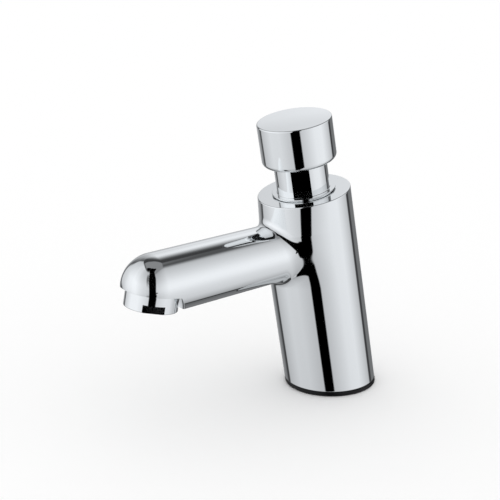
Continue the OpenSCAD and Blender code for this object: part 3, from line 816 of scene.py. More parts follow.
@dataclass(frozen=True)
class TapCasting:
    """The chromed casting: a leaning body that flows into the spout and its domed nose.

    Its lines start where a ball that rolls round the root would touch the body and the spout,
    and all rows are then moved on to the blended skin.
    """

    length: float = 104.5
    top_r: float = 0.5
    foot_z: float = 2.5
    foot_r: float = 0.6
    bores: tuple[tuple[float, float], ...] = (
        (14.0, 91.3),
        (13.1, 86.0),
        (15.0, 58.0),
        (13.1, 46.0),
        (10.5, 24.0),
    )
    recess_r: float = 16.5
    recess_y: float = -1.8514
    recess_z: float = 21.0
    seat_w: float = 8.2
    spot_face_r: float = 15.95
    thread_r: float = 12.05
    thread_w: float = 13.9
    chamber_r: float = 8.5
    chamber_w: float = 20.1
    cutter_sides: int = 256
    blend_top: float = 3.8
    blend_side: float = 4.93
    shoulder_t: float = 1.1
    shoulder_h: float = 14.0
    shoulder_foot: tuple[float, float] = (62.0, 82.0)
    shoulder_side: tuple[float, float] = (35.0, 88.0)
    sides: int = 400
    back_lines: int = 12
    fillet_rows: int = 18
    tube_rows: int = 48
    nose_rows: int = 60
    wrap_rows: int = 80
    edge_rows: int = 8
    crowding: float = 1.3

    def outside(self, places: np.ndarray) -> np.ndarray:
        """Measure places against the skin in which body and spout flow into each other.

        Args:
            places: The places, one in each row.

        Returns:
            How far each one lies outside the skin.
        """
        up = np.array(AXIS.direction)
        level = places @ up
        across = places - np.outer(level, up)
        bearing = np.degrees(np.arctan2(np.abs(across[:, 0]), -across[:, 1]))
        shoulder = np.clip((self.length - self.top_r - level) / self.shoulder_h, 0, 1)
        shoulder = shoulder * soft_step(level, *self.shoulder_foot)
        shoulder = shoulder * (1 - soft_step(bearing, *self.shoulder_side))
        to_body = np.linalg.norm(across, axis=1) - SPOUT.body_r - self.shoulder_t * shoulder
        half_w, half_h = SPOUT.half_sizes(places[:, 1])
        side = places[:, 0] / half_w
        rise = (places[:, 2] - SPOUT.middle_z(places[:, 1])) / half_h
        ahead = np.maximum(0, -SPOUT.reach - places[:, 1]) / SPOUT.nose_l
        flat = np.maximum(np.hypot(side, ahead), TINY)
        front = soft_step(ahead / flat, *SPOUT.nose_front)
        blunt = front * (1 - soft_step(ahead / flat, *SPOUT.nose_tip))
        wide = flat * (1 - SPOUT.nose_swell * blunt)
        to_spout = (np.hypot(wide, rise) - 1) * (half_w + half_h) / 2
        blend = mix(self.blend_top, self.blend_side, (side / np.hypot(side, rise)) ** 2)
        share = np.clip(0.5 + (to_spout - to_body) / (2 * blend), 0, 1)
        share[across[:, 1] > 0] = 1
        return mix(to_spout, to_body, share) - blend * share * (1 - share)

    def way_out(self, places: np.ndarray, step: float = 1e-4) -> np.ndarray:
        """Find how fast the distance to the blended skin grows along each axis.

        Args:
            places: The places, one in each row.
            step: How far apart it is measured.

        Returns:
            The slopes, which point out of the metal.
        """
        shifts = step * np.eye(3)
        slopes = [(self.outside(places + s) - self.outside(places - s)) / (2 * step) for s in shifts]
        return np.stack(slopes, axis=1)

    def settle(self, draft: MeshDraft, places: Sequence[Vector], steps: int = 5) -> list[int]:
        """Add a row of points that are moved on to the blended skin.

        Args:
            draft: The mesh that grows.
            places: Where the points are at first, near the skin.
            steps: How often they are moved.

        Returns:
            The points' numbers.
        """
        spots = np.array(places)
        for _ in range(steps):
            slopes = self.way_out(spots)
            spots = spots - slopes * (self.outside(spots) / np.sum(slopes**2, axis=1))[:, None]
        facing = self.way_out(spots)
        return draft.row([Vector(p) for p in spots], [Vector(n).normalized() for n in facing])

    def on_body(self, turn: float, level: float, inset: float = 0.0) -> Vector:
        """Give a point of the leaning round body, or one that lies inside it by an inset."""
        return AXIS.place @ round_axis(SPOUT.body_r - inset, turn, level)

    def foot_level(self, turn: float, height: float) -> float:
        """Level at which the body's side reaches a height above the deck."""
        swing = SPOUT.body_r * math.cos(turn) * math.sin(AXIS.angle)
        return (height + swing) / math.cos(AXIS.angle)

    @property
    def top_lines(self) -> range:
        """Numbers of the lines round the spout that end at the top edge."""
        return range(self.back_lines, self.sides // 2 - self.back_lines + 1)

    @property
    def foot_lines(self) -> range:
        """Numbers of the lines round the spout that end at the foot."""
        return range(self.sides // 2 + self.back_lines, self.sides - self.back_lines + 1)

    def rim(self, line: int) -> tuple[float, float]:
        """Give where a line of the wrapped skin ends: at the top edge, at the foot or behind.

        Args:
            line: The line's number round the spout, from +X upwards.

        Returns:
            The turn and the level.
        """
        back = math.pi
        top = self.length - self.top_r
        lines = len(self.top_lines) - 1
        if line in self.top_lines:
            return mix(back, -back, (line - self.top_lines.start) / lines), top
        if line in self.foot_lines:
            turn = mix(-back, back, (line - self.foot_lines.start) / lines)
            return turn, self.foot_level(turn, self.foot_z + self.foot_r)
        foot = self.foot_level(back, self.foot_z + self.foot_r)
        share = (line + self.back_lines) % (self.sides // 2) / (2 * self.back_lines)
        if line in range(self.top_lines.stop, self.foot_lines.start):
            return -back, mix(top, foot, share)
        return back, mix(foot, top, share)

    def skin_of_spout(self, draft: MeshDraft) -> list[Vector]:
        """Add the root, the tube and the dome.

        Args:
            draft: The mesh that grows.

        Returns:
            The points of the root's edge on the body.
        """
        angles = full_turn(self.sides)
        starts = [SPOUT.touch_y(a) for a in angles]
        balls = [SPOUT.ball(a, y) for a, y in zip(angles, starts)]
        to_body = [(b.dot(AXIS.direction) * AXIS.direction - b).normalized() for b in balls]
        to_spout = [-SPOUT.normal(SPOUT.point(a, y)) for a, y in zip(angles, starts)]
        rows = []
        for k in range(self.fillet_rows + 1):
            ways = [s.slerp(e, k / self.fillet_rows) for s, e in zip(to_body, to_spout)]
            rows.append(self.settle(draft, [b + SPOUT.fillet_r * w for b, w in zip(balls, ways)]))
        for k in range(1, self.tube_rows + 1):
            share = (k / self.tube_rows) ** self.crowding
            places = [SPOUT.point(a, mix(y, -SPOUT.reach, share)) for a, y in zip(angles, starts)]
            rows.append(self.settle(draft, places))
        for cos, sin in quarter(self.nose_rows)[1:-1]:
            y = -SPOUT.reach - SPOUT.nose_l * sin
            rows.append(self.settle(draft, [SPOUT.point(a, y, cos) for a in angles]))
        draft.loft(rows)
        draft.close(rows[-1], SPOUT.point(0, -SPOUT.reach - SPOUT.nose_l, 0))
        draft.normals[-1] = -BACK
        return [b + SPOUT.fillet_r * w for b, w in zip(balls, to_body)]

    def skin_of_body(self, draft: MeshDraft, edge: Sequence[Vector]) -> list[int]:
        """Wrap the round side from the root's edge to the top edge, the foot and the back.

        Args:
            draft: The mesh that grows.
            edge: The points of the root's edge.

        Returns:
            The last row, which ends at the top edge, at the foot and behind.
        """
        upright = [AXIS.place.inverted() @ p for p in edge]
        starts = [(math.atan2(p.x, -p.y), p.z) for p in upright]
        ends = [self.rim(i) for i in range(self.sides)]
        rows = []
        for k in range(self.wrap_rows + 1):
            share = (k / self.wrap_rows) ** self.crowding
            spots = [(mix(s[0], e[0], share), mix(s[1], e[1], share)) for s, e in zip(starts, ends)]
            rows.append(self.settle(draft, [self.on_body(t, level) for t, level in spots]))
        draft.loft(rows)
        return rows[-1]

    def close_top(self, draft: MeshDraft, top: list[int]) -> None:
        """Round the top edge, and add the flat top and the stepped bore in it.

        Args:
            draft: The mesh that grows.
            top: The points along the edge.
        """
        turns = [self.rim(i)[0] for i in self.top_lines]
        rows = [top]
        for cos, sin in quarter(self.edge_rows)[1:]:
            inset = self.top_r * (1 - cos)
            level = self.length - self.top_r * (1 - sin)
            facing = [AXIS.place @ round_axis(cos, t, sin) for t in turns]
            rows.append(draft.row([self.on_body(t, level, inset) for t in turns], facing))
        high = self.length
        for radius, low in self.bores:
            inset = SPOUT.body_r - radius
            for level in (high, low):
                rows.append(draft.row([self.on_body(t, level, inset) for t in turns]))
            high = low
        draft.loft(rows, closed=False)
        draft.close(rows[-1], AXIS.direction * high, closed=False)

    def close_foot(self, draft: MeshDraft, foot: list[int]) -> None:
        """Round the edge at the foot, and add the underside and the recess in it.

        Args:
            draft: The mesh that grows.
            foot: The points along the edge.
        """
        turns = [self.rim(i)[0] for i in self.foot_lines]
        rows = [foot]
        for cos, sin in quarter(self.edge_rows)[1:]:
            inset = self.foot_r * (1 - cos)
            height = self.foot_z + self.foot_r * (1 - sin)
            spots = [self.on_body(t, self.foot_level(t, height), inset) for t in turns]
            rows.append(draft.row([Vector((p.x, p.y, height)) for p in spots]))
        middle = BACK * self.recess_y
        for height in (self.foot_z, self.recess_z):
            rows.append(draft.row([middle + round_axis(self.recess_r, t, height) for t in turns]))
        draft.loft(rows, closed=False)
        draft.close(rows[-1], middle + UP * self.recess_z, closed=False)

    def outlet_cutter(self) -> Piece:
        """Make what is cut away under the nose: spot face, thread bore and chamber.

        Returns:
            The solid that is cut away.
        """
        outline = (
            Corner(0, -self.spot_face_r),
            Corner(self.spot_face_r, -self.spot_face_r),
            Corner(self.spot_face_r, self.seat_w),
            Corner(self.thread_r, self.seat_w),
            Corner(self.thread_r, self.thread_w),
            Corner(self.chamber_r, self.thread_w),
            Corner(self.chamber_r, self.chamber_w),
            Corner(0, self.chamber_w),
        )
        return Turned(outline, ring=False, segments=self.cutter_sides).build("cutter", OUTLET.place)

    def build(self) -> None:
        """Build and dress the casting."""
        draft = MeshDraft()
        rim = self.skin_of_body(draft, self.skin_of_spout(draft))
        self.close_top(draft, [rim[i] for i in self.top_lines])
        self.close_foot(draft, [rim[i] for i in self.foot_lines])
        piece = draft.build("casting")
        carve(piece, [self.outlet_cutter()], sharp=20)
        dress(piece, CHROME, Body.TAP, "tap_body")


@dataclass(frozen=True)
class GuideStem:
    """The fixed stem that the cap slides on, with its flange and spanner flats."""

    thread_r: float = 13.9
    thread_low: float = 92.5
    groove_r: float = 12.4
    groove_low: float = 100.65
    groove_high: float = 102.75
    seat: float = 104.5
    flange_r: float = 15.5
    flange_t: float = 1.0
    rim_r: float = 0.3
    undercut_r: float = 14.4
    undercut_t: float = 0.4
    stem_r: float = 12.9
    stem_high: float = 127.6
    fillet_r: float = 0.35
    well_r: float = 9.3
    web_low: float = 100.0
    web_high: float = 107.0
    bush_r: float = 6.6
    seal_r: float = 7.05
    seal_high: float = 102.9
    bore_r: float = 11.9
    flats: float = 24.2
    flats_bearing: float = 53.0
    flats_clear: float = 0.02
    edge_r: float = 0.3

    def build(self) -> None:
        """Build and dress the stem."""
        ledge = self.seat + self.flange_t
        undercut = self.seat + self.undercut_t
        outline = (
            Corner(self.bore_r, self.thread_low),
            Corner(self.thread_r, self.thread_low),
            Corner(self.thread_r, self.groove_low),
            Corner(self.groove_r, self.groove_low),
            Corner(self.groove_r, self.groove_high),
            Corner(self.thread_r, self.groove_high),
            Corner(self.thread_r, self.seat),
            Corner(self.undercut_r, self.seat),
            Corner(self.undercut_r, undercut),
            Corner(self.flange_r, undercut, self.rim_r),
            Corner(self.flange_r, ledge, self.rim_r),
            Corner(self.stem_r, ledge, self.fillet_r),
            Corner(self.stem_r, self.stem_high, self.edge_r),
            Corner(self.well_r, self.stem_high),
            Corner(self.well_r, self.web_high),
            Corner(self.bush_r, self.web_high),
            Corner(self.bush_r, self.seal_high),
            Corner(self.seal_r, self.seal_high),
            Corner(self.seal_r, self.web_low),
            Corner(self.bore_r, self.web_low),
        )
        piece = Turned(outline).build("guide_stem", AXIS.place)
        low = ledge + self.flats_clear
        high = self.stem_high + self.stem_r
        cutters = spanner_flats(self.flats, self.flats_bearing, low, high, AXIS.place)
        carve(piece, cutters, sharp=12, plane=True)
        dress(piece, CHROME, Body.TAP, "bonnet")


@dataclass(frozen=True)
class PushCap:
    """The cap that is pushed down, with its skirt, its faintly crowned top and inner boss."""

    radius: float = 18.1
    low: float = 120.0
    high: float = 141.0
    low_r: float = 2.4
    high_r: float = 0.7
    crown: float = 0.18
    crown_r: float = 8.6
    crown_flat: float = 0.2
    inner_r: float = 15.5
    inner_fillet_r: float = 0.6
    ceiling: float = 138.2
    boss_r: float = 8.3
    boss_low: float = 131.2
    boss_edge_r: float = 0.3
    hole_r: float = 4.1
    hole_high: float = 136.8

    def build(self) -> None:
        """Build and dress the cap."""
        arch = self.crown_r / math.tan(self.crown / self.radius)
        outline = (
            Corner(0, self.hole_high),
            Corner(self.hole_r, self.hole_high),
            Corner(self.hole_r, self.boss_low),
            Corner(self.boss_r, self.boss_low, self.boss_edge_r),
            Corner(self.boss_r, self.ceiling, self.inner_fillet_r),
            Corner(self.inner_r, self.ceiling, self.inner_fillet_r),
            Corner(self.inner_r, self.low),
            Corner(self.radius, self.low, self.low_r),
            Corner(self.radius, self.high - self.crown, self.high_r),
            Corner(self.crown_r + self.crown_flat, self.high, arch),
            Corner(0, self.high),
        )
        piece = Turned(outline, ring=False).build("cap", AXIS.place)
        dress(piece, CHROME, Body.PLUNGER, "push_cap")


@dataclass(frozen=True)
class OutletRing:
    """The ring under the nose, with spanner flats, and the woven screen in its mouth."""

    radius: float = 12.7
    height: float = 8.2
    low_r: float = 0.4
    high_r: float = 0.2
    thread_r: float = 11.95
    thread_high: float = 12.4
    bore_r: float = 10.3
    mouth_r: float = 9.6
    mouth_edge_r: float = 0.25
    lip_t: float = 1.2
    flats: float = 23.2
    flats_bearing: float = 65.6
    flats_high: float = 3.7
    screen_r: float = 10.2
    screen_t: float = 0.7
    wire_r: float = 0.17
    wire_pitch: float = 1.3
    wire_sides: int = 6
    pitch_rows: int = 6
    least_rows: int = 8

    def build_ring(self) -> None:
        """Build and dress the ring."""
        outline = (
            Corner(self.mouth_r, 0, self.mouth_edge_r),
            Corner(self.radius, 0, self.low_r),
            Corner(self.radius, self.height, self.high_r),
            Corner(self.thread_r, self.height),
            Corner(self.thread_r, self.thread_high),
            Corner(self.bore_r, self.thread_high),
            Corner(self.bore_r, self.lip_t),
            Corner(self.mouth_r, self.lip_t),
        )
        piece = Turned(outline).build("outlet_ring", OUTLET.place)
        low, high = -self.radius, self.flats_high
        cutters = spanner_flats(self.flats, self.flats_bearing, low, high, OUTLET.place)
        carve(piece, cutters, sharp=15, plane=True)
        dress(piece, CHROME, Body.TAP, "aerator_housing")

    def wire(self, draft: MeshDraft, along: Vector, aside: Vector, offset: float, phase: int) -> None:
        """Add one wavy wire of the screen.

        Args:
            draft: The mesh that grows.
            along: The way that it runs.
            aside: The way square to that.
            offset: How far it lies aside of the middle.
            phase: 0 or 1, as it starts over or under.
        """
        half = math.sqrt((self.screen_r - self.wire_r) ** 2 - offset**2)
        steps = max(self.least_rows, round(2 * half / self.wire_pitch * self.pitch_rows))
        level = self.lip_t + self.screen_t / 2
        swing = self.screen_t / 2 - self.wire_r
        rows = []
        for k in range(steps + 1):
            run = mix(-half, half, k / steps)
            wave = math.sin(math.pi * (run / self.wire_pitch + phase))
            middle = along * run + aside * offset + UP * (level + swing * wave)
            ring = round_wire(middle, aside, self.wire_r, self.wire_sides)
            rows.append(draft.row([OUTLET.place @ p for p in ring]))
        draft.tube(rows)

    def build_screen(self) -> None:
        """Build and dress the woven screen."""
        draft = MeshDraft()
        count = int((self.screen_r - self.wire_r) / self.wire_pitch - 0.5)
        for start, along, aside in ((1, RIGHT, BACK), (0, BACK, RIGHT)):
            for k in range(-count - 1, count + 1):
                self.wire(draft, along, aside, (k + 0.5) * self.wire_pitch, (k + start) % 2)
        piece = draft.build("outlet_screen")
        dress(piece, STEEL, Body.TAP, "aerator_screen")

    def build(self) -> None:
        """Build the ring and the screen."""
        self.build_ring()
        self.build_screen()


@dataclass(frozen=True)
class DeckGasket:
    """The rubber ring between the body and the deck, with softened moulded edges."""

    radius: float = 22.79
    thickness: float = 2.5
    edge_r: float = 0.95
    hole_r: float = 16.5
    hole_y: float = -1.8514
    segments: int = 192
    edge_rows: int = 8

    def oval(self, across: float, along: float, y: float, height: float) -> list[Vector]:
        """Give a level oval by half its sizes, its middle and its height."""
        turns = full_turn(self.segments)
        return [Vector((across * math.sin(t), y - along * math.cos(t), height)) for t in turns]

    def outer(self, inset: float, height: float) -> list[Vector]:
        """Give the leaning outline at a height, drawn in by an inset."""
        along = self.radius / math.cos(AXIS.angle)
        return self.oval(self.radius - inset, along - inset, -height * math.tan(AXIS.angle), height)

    def inner(self, height: float) -> list[Vector]:
        """Give the round hole's edge at a height."""
        return self.oval(self.hole_r, self.hole_r, self.hole_y, height)

    def build(self) -> None:
        """Build and dress the gasket."""
        draft = MeshDraft()
        edge = self.edge_r
        rows = [self.inner(0)]
        rows += [self.outer(edge * (1 - sin), edge * (1 - cos)) for cos, sin in quarter(self.edge_rows)]
        for cos, sin in quarter(self.edge_rows):
            rows.append(self.outer(edge * (1 - cos), self.thickness - edge * (1 - sin)))
        rows.append(self.inner(self.thickness))
        numbers = [draft.row(row) for row in rows]
        draft.loft(numbers + numbers[:1])
        piece = draft.build("deck_gasket", sharp=40)
        dress(piece, RUBBER, Body.TAP, "base_gasket")


@dataclass(frozen=True)
class ReturnSpring:
    """The spring under the cap, with closed end turns."""

    radius: float = 7.3
    wire_r: float = 0.7
    low: float = 108.6
    high: float = 131.1
    turns: int = 6
    flat_turns: float = 0.6
    flat_rise: float = 0.05
    stroke: float = 9.0
    turn_rings: int = 48
    wire_sides: int = 12

    def level(self, turned: float) -> float:
        """Find the wire's level, with the end turns nearly flat.

        Args:
            turned: How many turns the wire has made.

        Returns:
            The level of its middle.
        """
        share = (turned - self.flat_turns) / (self.turns - 2 * self.flat_turns)
        share = mix(min(max(share, 0), 1), turned / self.turns, self.flat_rise)
        return mix(self.low + self.wire_r, self.high - self.wire_r, share)

    def build(self) -> None:
        """Build and dress the spring."""
        draft = MeshDraft()
        rows = []
        for i in range(self.turns * self.turn_rings + 1):
            turn = 2 * math.pi * i / self.turn_rings
            out = Vector((math.cos(turn), math.sin(turn), 0))
            middle = out * self.radius + UP * self.level(i / self.turn_rings)
            ring = round_wire(middle, out, self.wire_r, self.wire_sides)
            rows.append(draft.row([AXIS.place @ p for p in ring]))
        draft.tube(rows)
        piece = draft.build("cap_spring", sharp=50)
        dress(piece, STEEL, Body.TAP, "return_spring")
        anchor = AXIS.direction * self.low * MM
        tuple(AXIS.direction)
        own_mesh(piece)


@dataclass(frozen=True)
class InnerPieces:
    """The solids that stay as they are and only get their finish."""

    finishes: tuple[tuple[Finish, tuple[str, ...]], ...] = (
        (BRASS, ("base_insert", "valve_seat", "valve_carrier")),
        (STEEL, ("inlet_strainer", "spindle", "spindle_locknut", "piston_clips", "valve_nut")),
        (ACETAL, ("cartridge_barrel", "seal_retainer", "guide_bush", "aerator_insert", "piston")),
        (BLACK_ACETAL, ("cap_guide_ring",)),
        (REGULATOR, ("flow_regulator",)),
        (RUBBER, ("base_insert_oring", "bonnet_oring", "barrel_upper_oring", "barrel_lower_oring",
                  "web_oring", "seat_seal", "spindle_seal", "aerator_seal", "piston_cup_seal",
                  "valve_washer")),
    )

    def build(self) -> None:
        """Dress the solids."""
        for finish, names in self.finishes:
            for name in names:
                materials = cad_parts[name].data.materials
                materials.clear()
                materials.append(finish.material())
                LOG.info("%s: %s", name, finish.name)


@dataclass(frozen=True)
class Sky:
    """The world's node tree, with what it measures of each direction.

    Attributes:
        tree: The node tree.
        sight: The direction.
        rise: Its upward part.
        bearing: Its bearing.
        height: Its elevation.
    """

    tree: Tree
    sight: Socket
    rise: Socket
    bearing: Socket
    height: Socket

    @classmethod
    def measured(cls, tree: Tree) -> "Sky":
        """Add the nodes that measure each direction.

        Args:
            tree: The world's node tree.

        Returns:
            What they measure.
        """
        sight = add_node(tree, "TexCoord")["Generated"]
        parts = add_node(tree, "SeparateXYZ", (sight,))
        ahead = add_node(tree, "Math", (parts["Y"], -1), operation="MULTIPLY")[0]
        turn = add_node(tree, "Math", (parts["X"], ahead), operation="ARCTAN2")[0]
        bearing = add_node(tree, "Math", (turn,), operation="DEGREES")[0]
        lift = add_node(tree, "Math", (parts["Z"],), operation="ARCSINE")[0]
        height = add_node(tree, "Math", (lift,), operation="DEGREES")[0]
        return cls(tree, sight, parts["Z"], bearing, height)

    def past(self, value: Socket, edge: float, soft: float) -> Socket:
        """Say where a measure is past a blurred edge.

        Args:
            value: What is measured.
            edge: Where the edge lies.
            soft: Half the width of its blur, which is negative where lower values are past it.

        Returns:
            The socket that is 1 past the edge and 0 before it.
        """
        span = (value, edge - soft, edge + soft)
        return add_node(self.tree, "MapRange", span, interpolation_type="SMOOTHSTEP")[0]

    def over_heights(self, stops: Sequence[tuple[float, ...]]) -> Socket:
        """Say how something changes with the elevation.

        Args:
            stops: Elevations, each with one value or three values from 0 to 1.

        Returns:
            The socket that holds the value, or the three values as a colour.
        """
        share = add_node(self.tree, "MapRange", (self.height, -90, 90))[0]
        ramp = add_node(self.tree, "ValToRGB", (share,))[0]
        points = ramp.node.color_ramp.elements
        while len(points) < len(stops):
            points.new(1.0)
        for point, (angle, *values) in zip(points, stops):
            point.position = (angle + 90) / 180
            point.color = (*(values * 3)[:3], 1)
        return ramp


@dataclass(frozen=True)
class TentPanel:
    """One lit upright panel of the light tent round the tap, seen only in what mirrors it.

    Attributes:
        face: Bearing of the panel's middle plane, square to the panel.
        left: Bearing of its left edge.
        peak: Middle of the bearings at which it is brightest.
        right: Bearing of its right edge.
        levels: Its brightness at these three bearings.
        foot: Elevation of its lower edge.
        head: Its distance from the tap, over the height of its straight upper edge.
        cover: Its distance over the height at which the tent's ceiling meets it.
        soft: Half the width of its blurred left edge, right edge and foot, in degrees.
        even: How far to both sides of the peak it stays as bright.
        soft_head: Half the width of its blurred upper edge.
        lean: How far it leans to the left for each degree up.
        falls: How its brightness changes with the elevation.
    """

    face: float
    left: float
    peak: float
    right: float
    levels: tuple[float, float, float]
    foot: float
    head: float
    cover: float
    soft: tuple[float, float, float]
    even: float = 0.0
    soft_head: float = 0.03
    lean: float = 0.0
    falls: tuple[tuple[float, float], ...] = ((-90, 1.0), (90, 1.0))

    def under(self, sky: Sky, slant: float, soft: float) -> Socket:
        """Say which directions pass under a straight edge along the panel.

        Args:
            sky: What is measured of the directions.
            slant: The panel's distance over the edge's height.
            soft: Half the width of the blurred edge.

        Returns:
            The socket that is 1 under the edge and 0 over it.
        """
        square = round_axis(1, math.radians(self.face), 0)
        reach = add_node(sky.tree, "VectorMath", (sky.sight, square), operation="DOT_PRODUCT")["Value"]
        limit = add_node(sky.tree, "Math", (sky.rise, slant), operation="MULTIPLY")[0]
        below = add_node(sky.tree, "Math", (reach, limit), operation="SUBTRACT")[0]
        return sky.past(below, 0, soft)

    def brightness(self, sky: Sky) -> Socket:
        """Say how bright the panel is in each direction.

        Args:
            sky: What is measured of the directions.

        Returns:
            The socket that holds the brightness.
        """
        tree = sky.tree
        upright = add_node(tree, "Math", (sky.height, self.lean, sky.bearing), operation="MULTIPLY_ADD")[0]
        off = add_node(tree, "Math", (upright, self.peak), operation="SUBTRACT")[0]
        way = add_node(tree, "Math", (off, 180, -180), operation="WRAP")[0]
        start, middle, end = self.levels
        left, right = self.left - self.peak, self.right - self.peak
        grow = add_node(tree, "MapRange", (way, left, -self.even, start, middle))[0]
        fall = add_node(tree, "MapRange", (way, self.even, right, middle, end))[0]
        seen = add_node(tree, "Math", (grow, fall), operation="MINIMUM")[0]
        masks = (
            self.under(sky, self.head, self.soft_head),
            sky.over_heights(self.falls),
            sky.past(way, left, self.soft[0]),
            sky.past(way, right, -self.soft[1]),
            sky.past(sky.height, self.foot, self.soft[2]),
        )
        for mask in masks:
            seen = add_node(tree, "Math", (seen, mask), operation="MULTIPLY")[0]
        return seen


@dataclass(frozen=True)
class Studio:
    """Camera, floor and soft light: a white tent with a dark gap towards the camera.

    Attributes:
        panels: The tent's lit panels.
        tent_colour: The colour of all its light.
        room: How bright the room behind the panels is.
        ceiling: How bright the ceiling is, on top of that.
        ceiling_soft: Half the width of its blurred edges.
        gap: Elevations with the left and the right bearing of the dark gap.
        gap_foot: Elevation of its lower end.
        gap_soft: Half the width of its blurred edges, in degrees.
        floor_half: Half the width of the floor.
        floor_colour: The colour of the floor.
        target: What the camera looks at.
        azimuth: Bearing of the camera.
        elevation: Elevation of the camera.
        distance: Distance of the camera.
        lens: Its focal length.
        sensor: Width of its sensor.
        near: The least distance that it sees.
    """

    panels: tuple[TentPanel, ...] = (
        # The wide front panel, left of the gap.
        TentPanel(
            face=-17, left=-77.5, peak=-18, right=60, levels=(0.63, 1.0, 0.6), foot=-95, even=17,
            head=0.36, cover=0.31, soft=(3, 5, 4), lean=0.16,
            falls=((-80, 0.45), (-45, 0.58), (-39, 0.61), (-31, 0.71), (-26, 0.76), (-20, 0.81),
                   (-11, 0.92), (0, 0.97), (18, 1.0), (50, 0.77), (62, 0.7)),
        ),
        # The wide panel to the right of the gap.
        TentPanel(
            face=112, left=58, peak=128, right=177, levels=(0.6, 0.97, 0.55), foot=-95, even=12,
            head=0.46, cover=0.43, soft=(5, 2.5, 4), soft_head=0.1,
            falls=((-80, 0.5), (-44, 0.67), (-26, 0.775), (-14, 0.885), (-5, 0.95), (5, 0.96),
                   (16, 0.9), (34, 0.73), (52, 0.57), (58, 0.48), (66, 0.42)),
        ),
        # The high panel behind on the left, which the cap's top and the spout's back mirror.
        TentPanel(
            face=240, left=215.5, peak=236.5, right=275, levels=(0.7, 0.77, 0.1), foot=-24, even=6,
            head=0.75, cover=0.32, soft=(4, 6, 8), soft_head=0.3, lean=0.25,
            falls=((-15, 0.42), (0, 0.4), (5, 0.46), (10, 0.62), (15, 0.78), (20, 0.92), (22, 0.92),
                   (24.5, 0.8), (27, 0.84), (31, 0.92), (40, 0.98), (50, 1.03)),
        ),
        # The dim wall below that panel.
        TentPanel(
            face=230, left=188, peak=230, right=275, levels=(0.13, 0.15, 0.13), foot=-60,
            head=0.8, cover=0.32, soft=(2.5, 6, 12), soft_head=0.2,
        ),
        # A dim curtain where the two wide panels end behind.
        TentPanel(
            face=168, left=150, peak=168, right=186, levels=(0.04, 0.04, 0.04), foot=0,
            head=0.45, cover=0.45, soft=(2, 2, 2),
        ),
    )
    tent_colour: str = "#FAFCFF"
    room: float = 0.05
    ceiling: float = 0.21
    ceiling_soft: float = 0.05
    # The short wide step below the horizon is what the outlet ring's flat mirrors.
    gap: tuple[tuple[float, float, float], ...] = (
        (-44, 44.5, 68.6),
        (-37, 44.7, 69.7),
        (-28.5, 43.4, 69.7),
        (-25.5, 42.3, 72.2),
        (-20, 44.8, 72.0),
        (-13.2, 45.2, 69.2),
        (-12.4, 45.2, 75.5),
        (-9.8, 45.2, 75.5),
        (-9, 45.2, 69.0),
        (8, 44.6, 68.8),
        (24, 42.2, 69.2),
        (40, 39.0, 69.6),
        (56, 35.2, 66.4),
        (62, 31.5, 64.5),
        (66, 26.0, 67.0),
        (70, 12.0, 76.0),
        (75.5, 0.0, 90.0),
        (77.5, 46.0, 44.0),
    )
    gap_foot: float = -70.0
    gap_soft: float = 1.5
    floor_half: float = 6000.0
    floor_colour: str = "#FFFFFF"
    target: tuple[float, float, float] = (-11.29, -41.91, 73.84)
    azimuth: float = 56.22
    elevation: float = 17.38
    distance: float = 657.8
    lens: float = 97.12
    sensor: float = 36.0
    near: float = 10.0

    def build_camera(self) -> None:
        """Stand the camera where the photograph was taken from."""
        data = bpy.data.cameras.new("camera")
        data.lens = self.lens
        data.sensor_width = self.sensor
        data.clip_start = self.near * MM
        camera = bpy.data.objects.new("camera", data)
        bpy.context.scene.collection.objects.link(camera)
        tilt = math.radians(self.elevation)
        back = round_axis(math.cos(tilt), math.radians(self.azimuth), math.sin(tilt))
        camera.location = (Vector(self.target) + back * self.distance) * MM
        camera.rotation_euler = (-back).to_track_quat("-Z", "Y").to_euler()
        bpy.context.scene.camera = camera

    def build_floor(self) -> None:
        """Lay a plain pale floor that keeps the shadow and stays out of the chrome."""
        paper = bpy.data.materials.new("matt_studio_paper")
        paper.use_nodes = True
        shader = paper.node_tree.nodes["Principled BSDF"].inputs
        shader["Base Color"].default_value = linear(self.floor_colour)
        shader["Roughness"].default_value = 1.0
        shader["Specular IOR Level"].default_value = 0.0
        draft = MeshDraft()
        corners = ((-1, -1, 0), (1, -1, 0), (1, 1, 0), (-1, 1, 0))
        draft.faces.append(tuple(draft.row([Vector(c) * self.floor_half for c in corners])))
        floor = draft.build("floor")
        floor.data.materials.append(paper)
        floor.visible_glossy = False
        floor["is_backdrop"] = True

    def tent(self, sky: Sky) -> Socket:
        """Say how bright the tent is in each direction.

        Args:
            sky: What is measured of the directions.

        Returns:
            The socket that holds the brightness.
        """
        tree = sky.tree
        over: Any = self.ceiling
        total: Any = self.room
        for panel in self.panels:
            total = add_node(tree, "Math", (total, panel.brightness(sky)), operation="ADD")[0]
            below = panel.under(sky, panel.cover, self.ceiling_soft)
            clear = add_node(tree, "Math", (1, below), operation="SUBTRACT")[0]
            over = add_node(tree, "Math", (over, clear), operation="MULTIPLY")[0]
        seen = add_node(tree, "Math", (total, over), operation="ADD")[0]
        light = add_node(tree, "Math", (1, self.dark_gap(sky)), operation="SUBTRACT")[0]
        return add_node(tree, "Math", (seen, light), operation="MULTIPLY")[0]

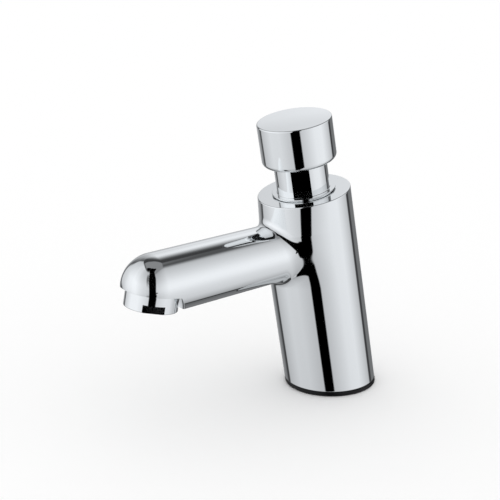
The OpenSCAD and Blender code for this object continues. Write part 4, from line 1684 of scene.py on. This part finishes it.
    def dark_gap(self, sky: Sky) -> Socket:
        """Say which directions lie in the dark gap, which leans to the left overhead.

        Args:
            sky: What is measured of the directions.

        Returns:
            The socket that is 1 inside the gap and 0 outside.
        """
        tree = sky.tree
        stops = [(angle, (left + 180) / 360, (right + 180) / 360, 0) for angle, left, right in self.gap]
        ends = add_node(tree, "SeparateColor", (sky.over_heights(stops),))
        turn = add_node(tree, "MapRange", (sky.bearing, -180, 180), clamp=False)[0]
        dark = sky.past(sky.height, self.gap_foot, 2 * self.gap_soft)
        for end, degrees in zip(ends, (360, -360)):
            off = add_node(tree, "Math", (turn, end), operation="SUBTRACT")[0]
            way = add_node(tree, "Math", (off, degrees), operation="MULTIPLY")[0]
            inside = sky.past(way, 0, self.gap_soft)
            dark = add_node(tree, "Math", (dark, inside), operation="MULTIPLY")[0]
        return dark

    def build_world(self) -> None:
        """Light the tap evenly in white, with the tent where metal mirrors it."""
        world = bpy.data.worlds.new("studio")
        bpy.context.scene.world = world
        world.use_nodes = True
        tree = world.node_tree
        tree.nodes.clear()
        tent = self.tent(Sky.measured(tree))
        mirrored = add_node(tree, "Background", (linear(self.tent_colour), tent))[0]
        plain = add_node(tree, "Background", (linear("#FFFFFF"),))[0]
        glossy = add_node(tree, "LightPath")["Is Glossy Ray"]
        both = add_node(tree, "MixShader", (glossy, plain, mirrored))[0]
        add_node(tree, "OutputWorld", {"Surface": both})
        bpy.context.scene.view_settings.view_transform = "Standard"

    def build(self) -> None:
        """Build the camera, the floor and the light."""
        self.build_camera()
        self.build_floor()
        self.build_world()


def write_sizes() -> None:
    """Gather the solids' box and the visual model's box as lists of corners, which are not kept."""
    boxes = {"cad": CAD_BOX, "visual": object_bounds()}
    {name: [list(corner) for corner in box] for name, box in boxes.items()}


def main() -> None:
    """Build the studio and the tap, sub-assembly by sub-assembly."""
    logging.basicConfig(level=logging.INFO, format="%(name)s: %(message)s")
    tap = (TapCasting(), GuideStem(), PushCap(), OutletRing(), DeckGasket(), ReturnSpring(), InnerPieces())
    for part in (Studio(), *tap):
        LOG.info("building %s", type(part).__name__)
        part.build()
    write_sizes()


if __name__ == "__main__":
    main()
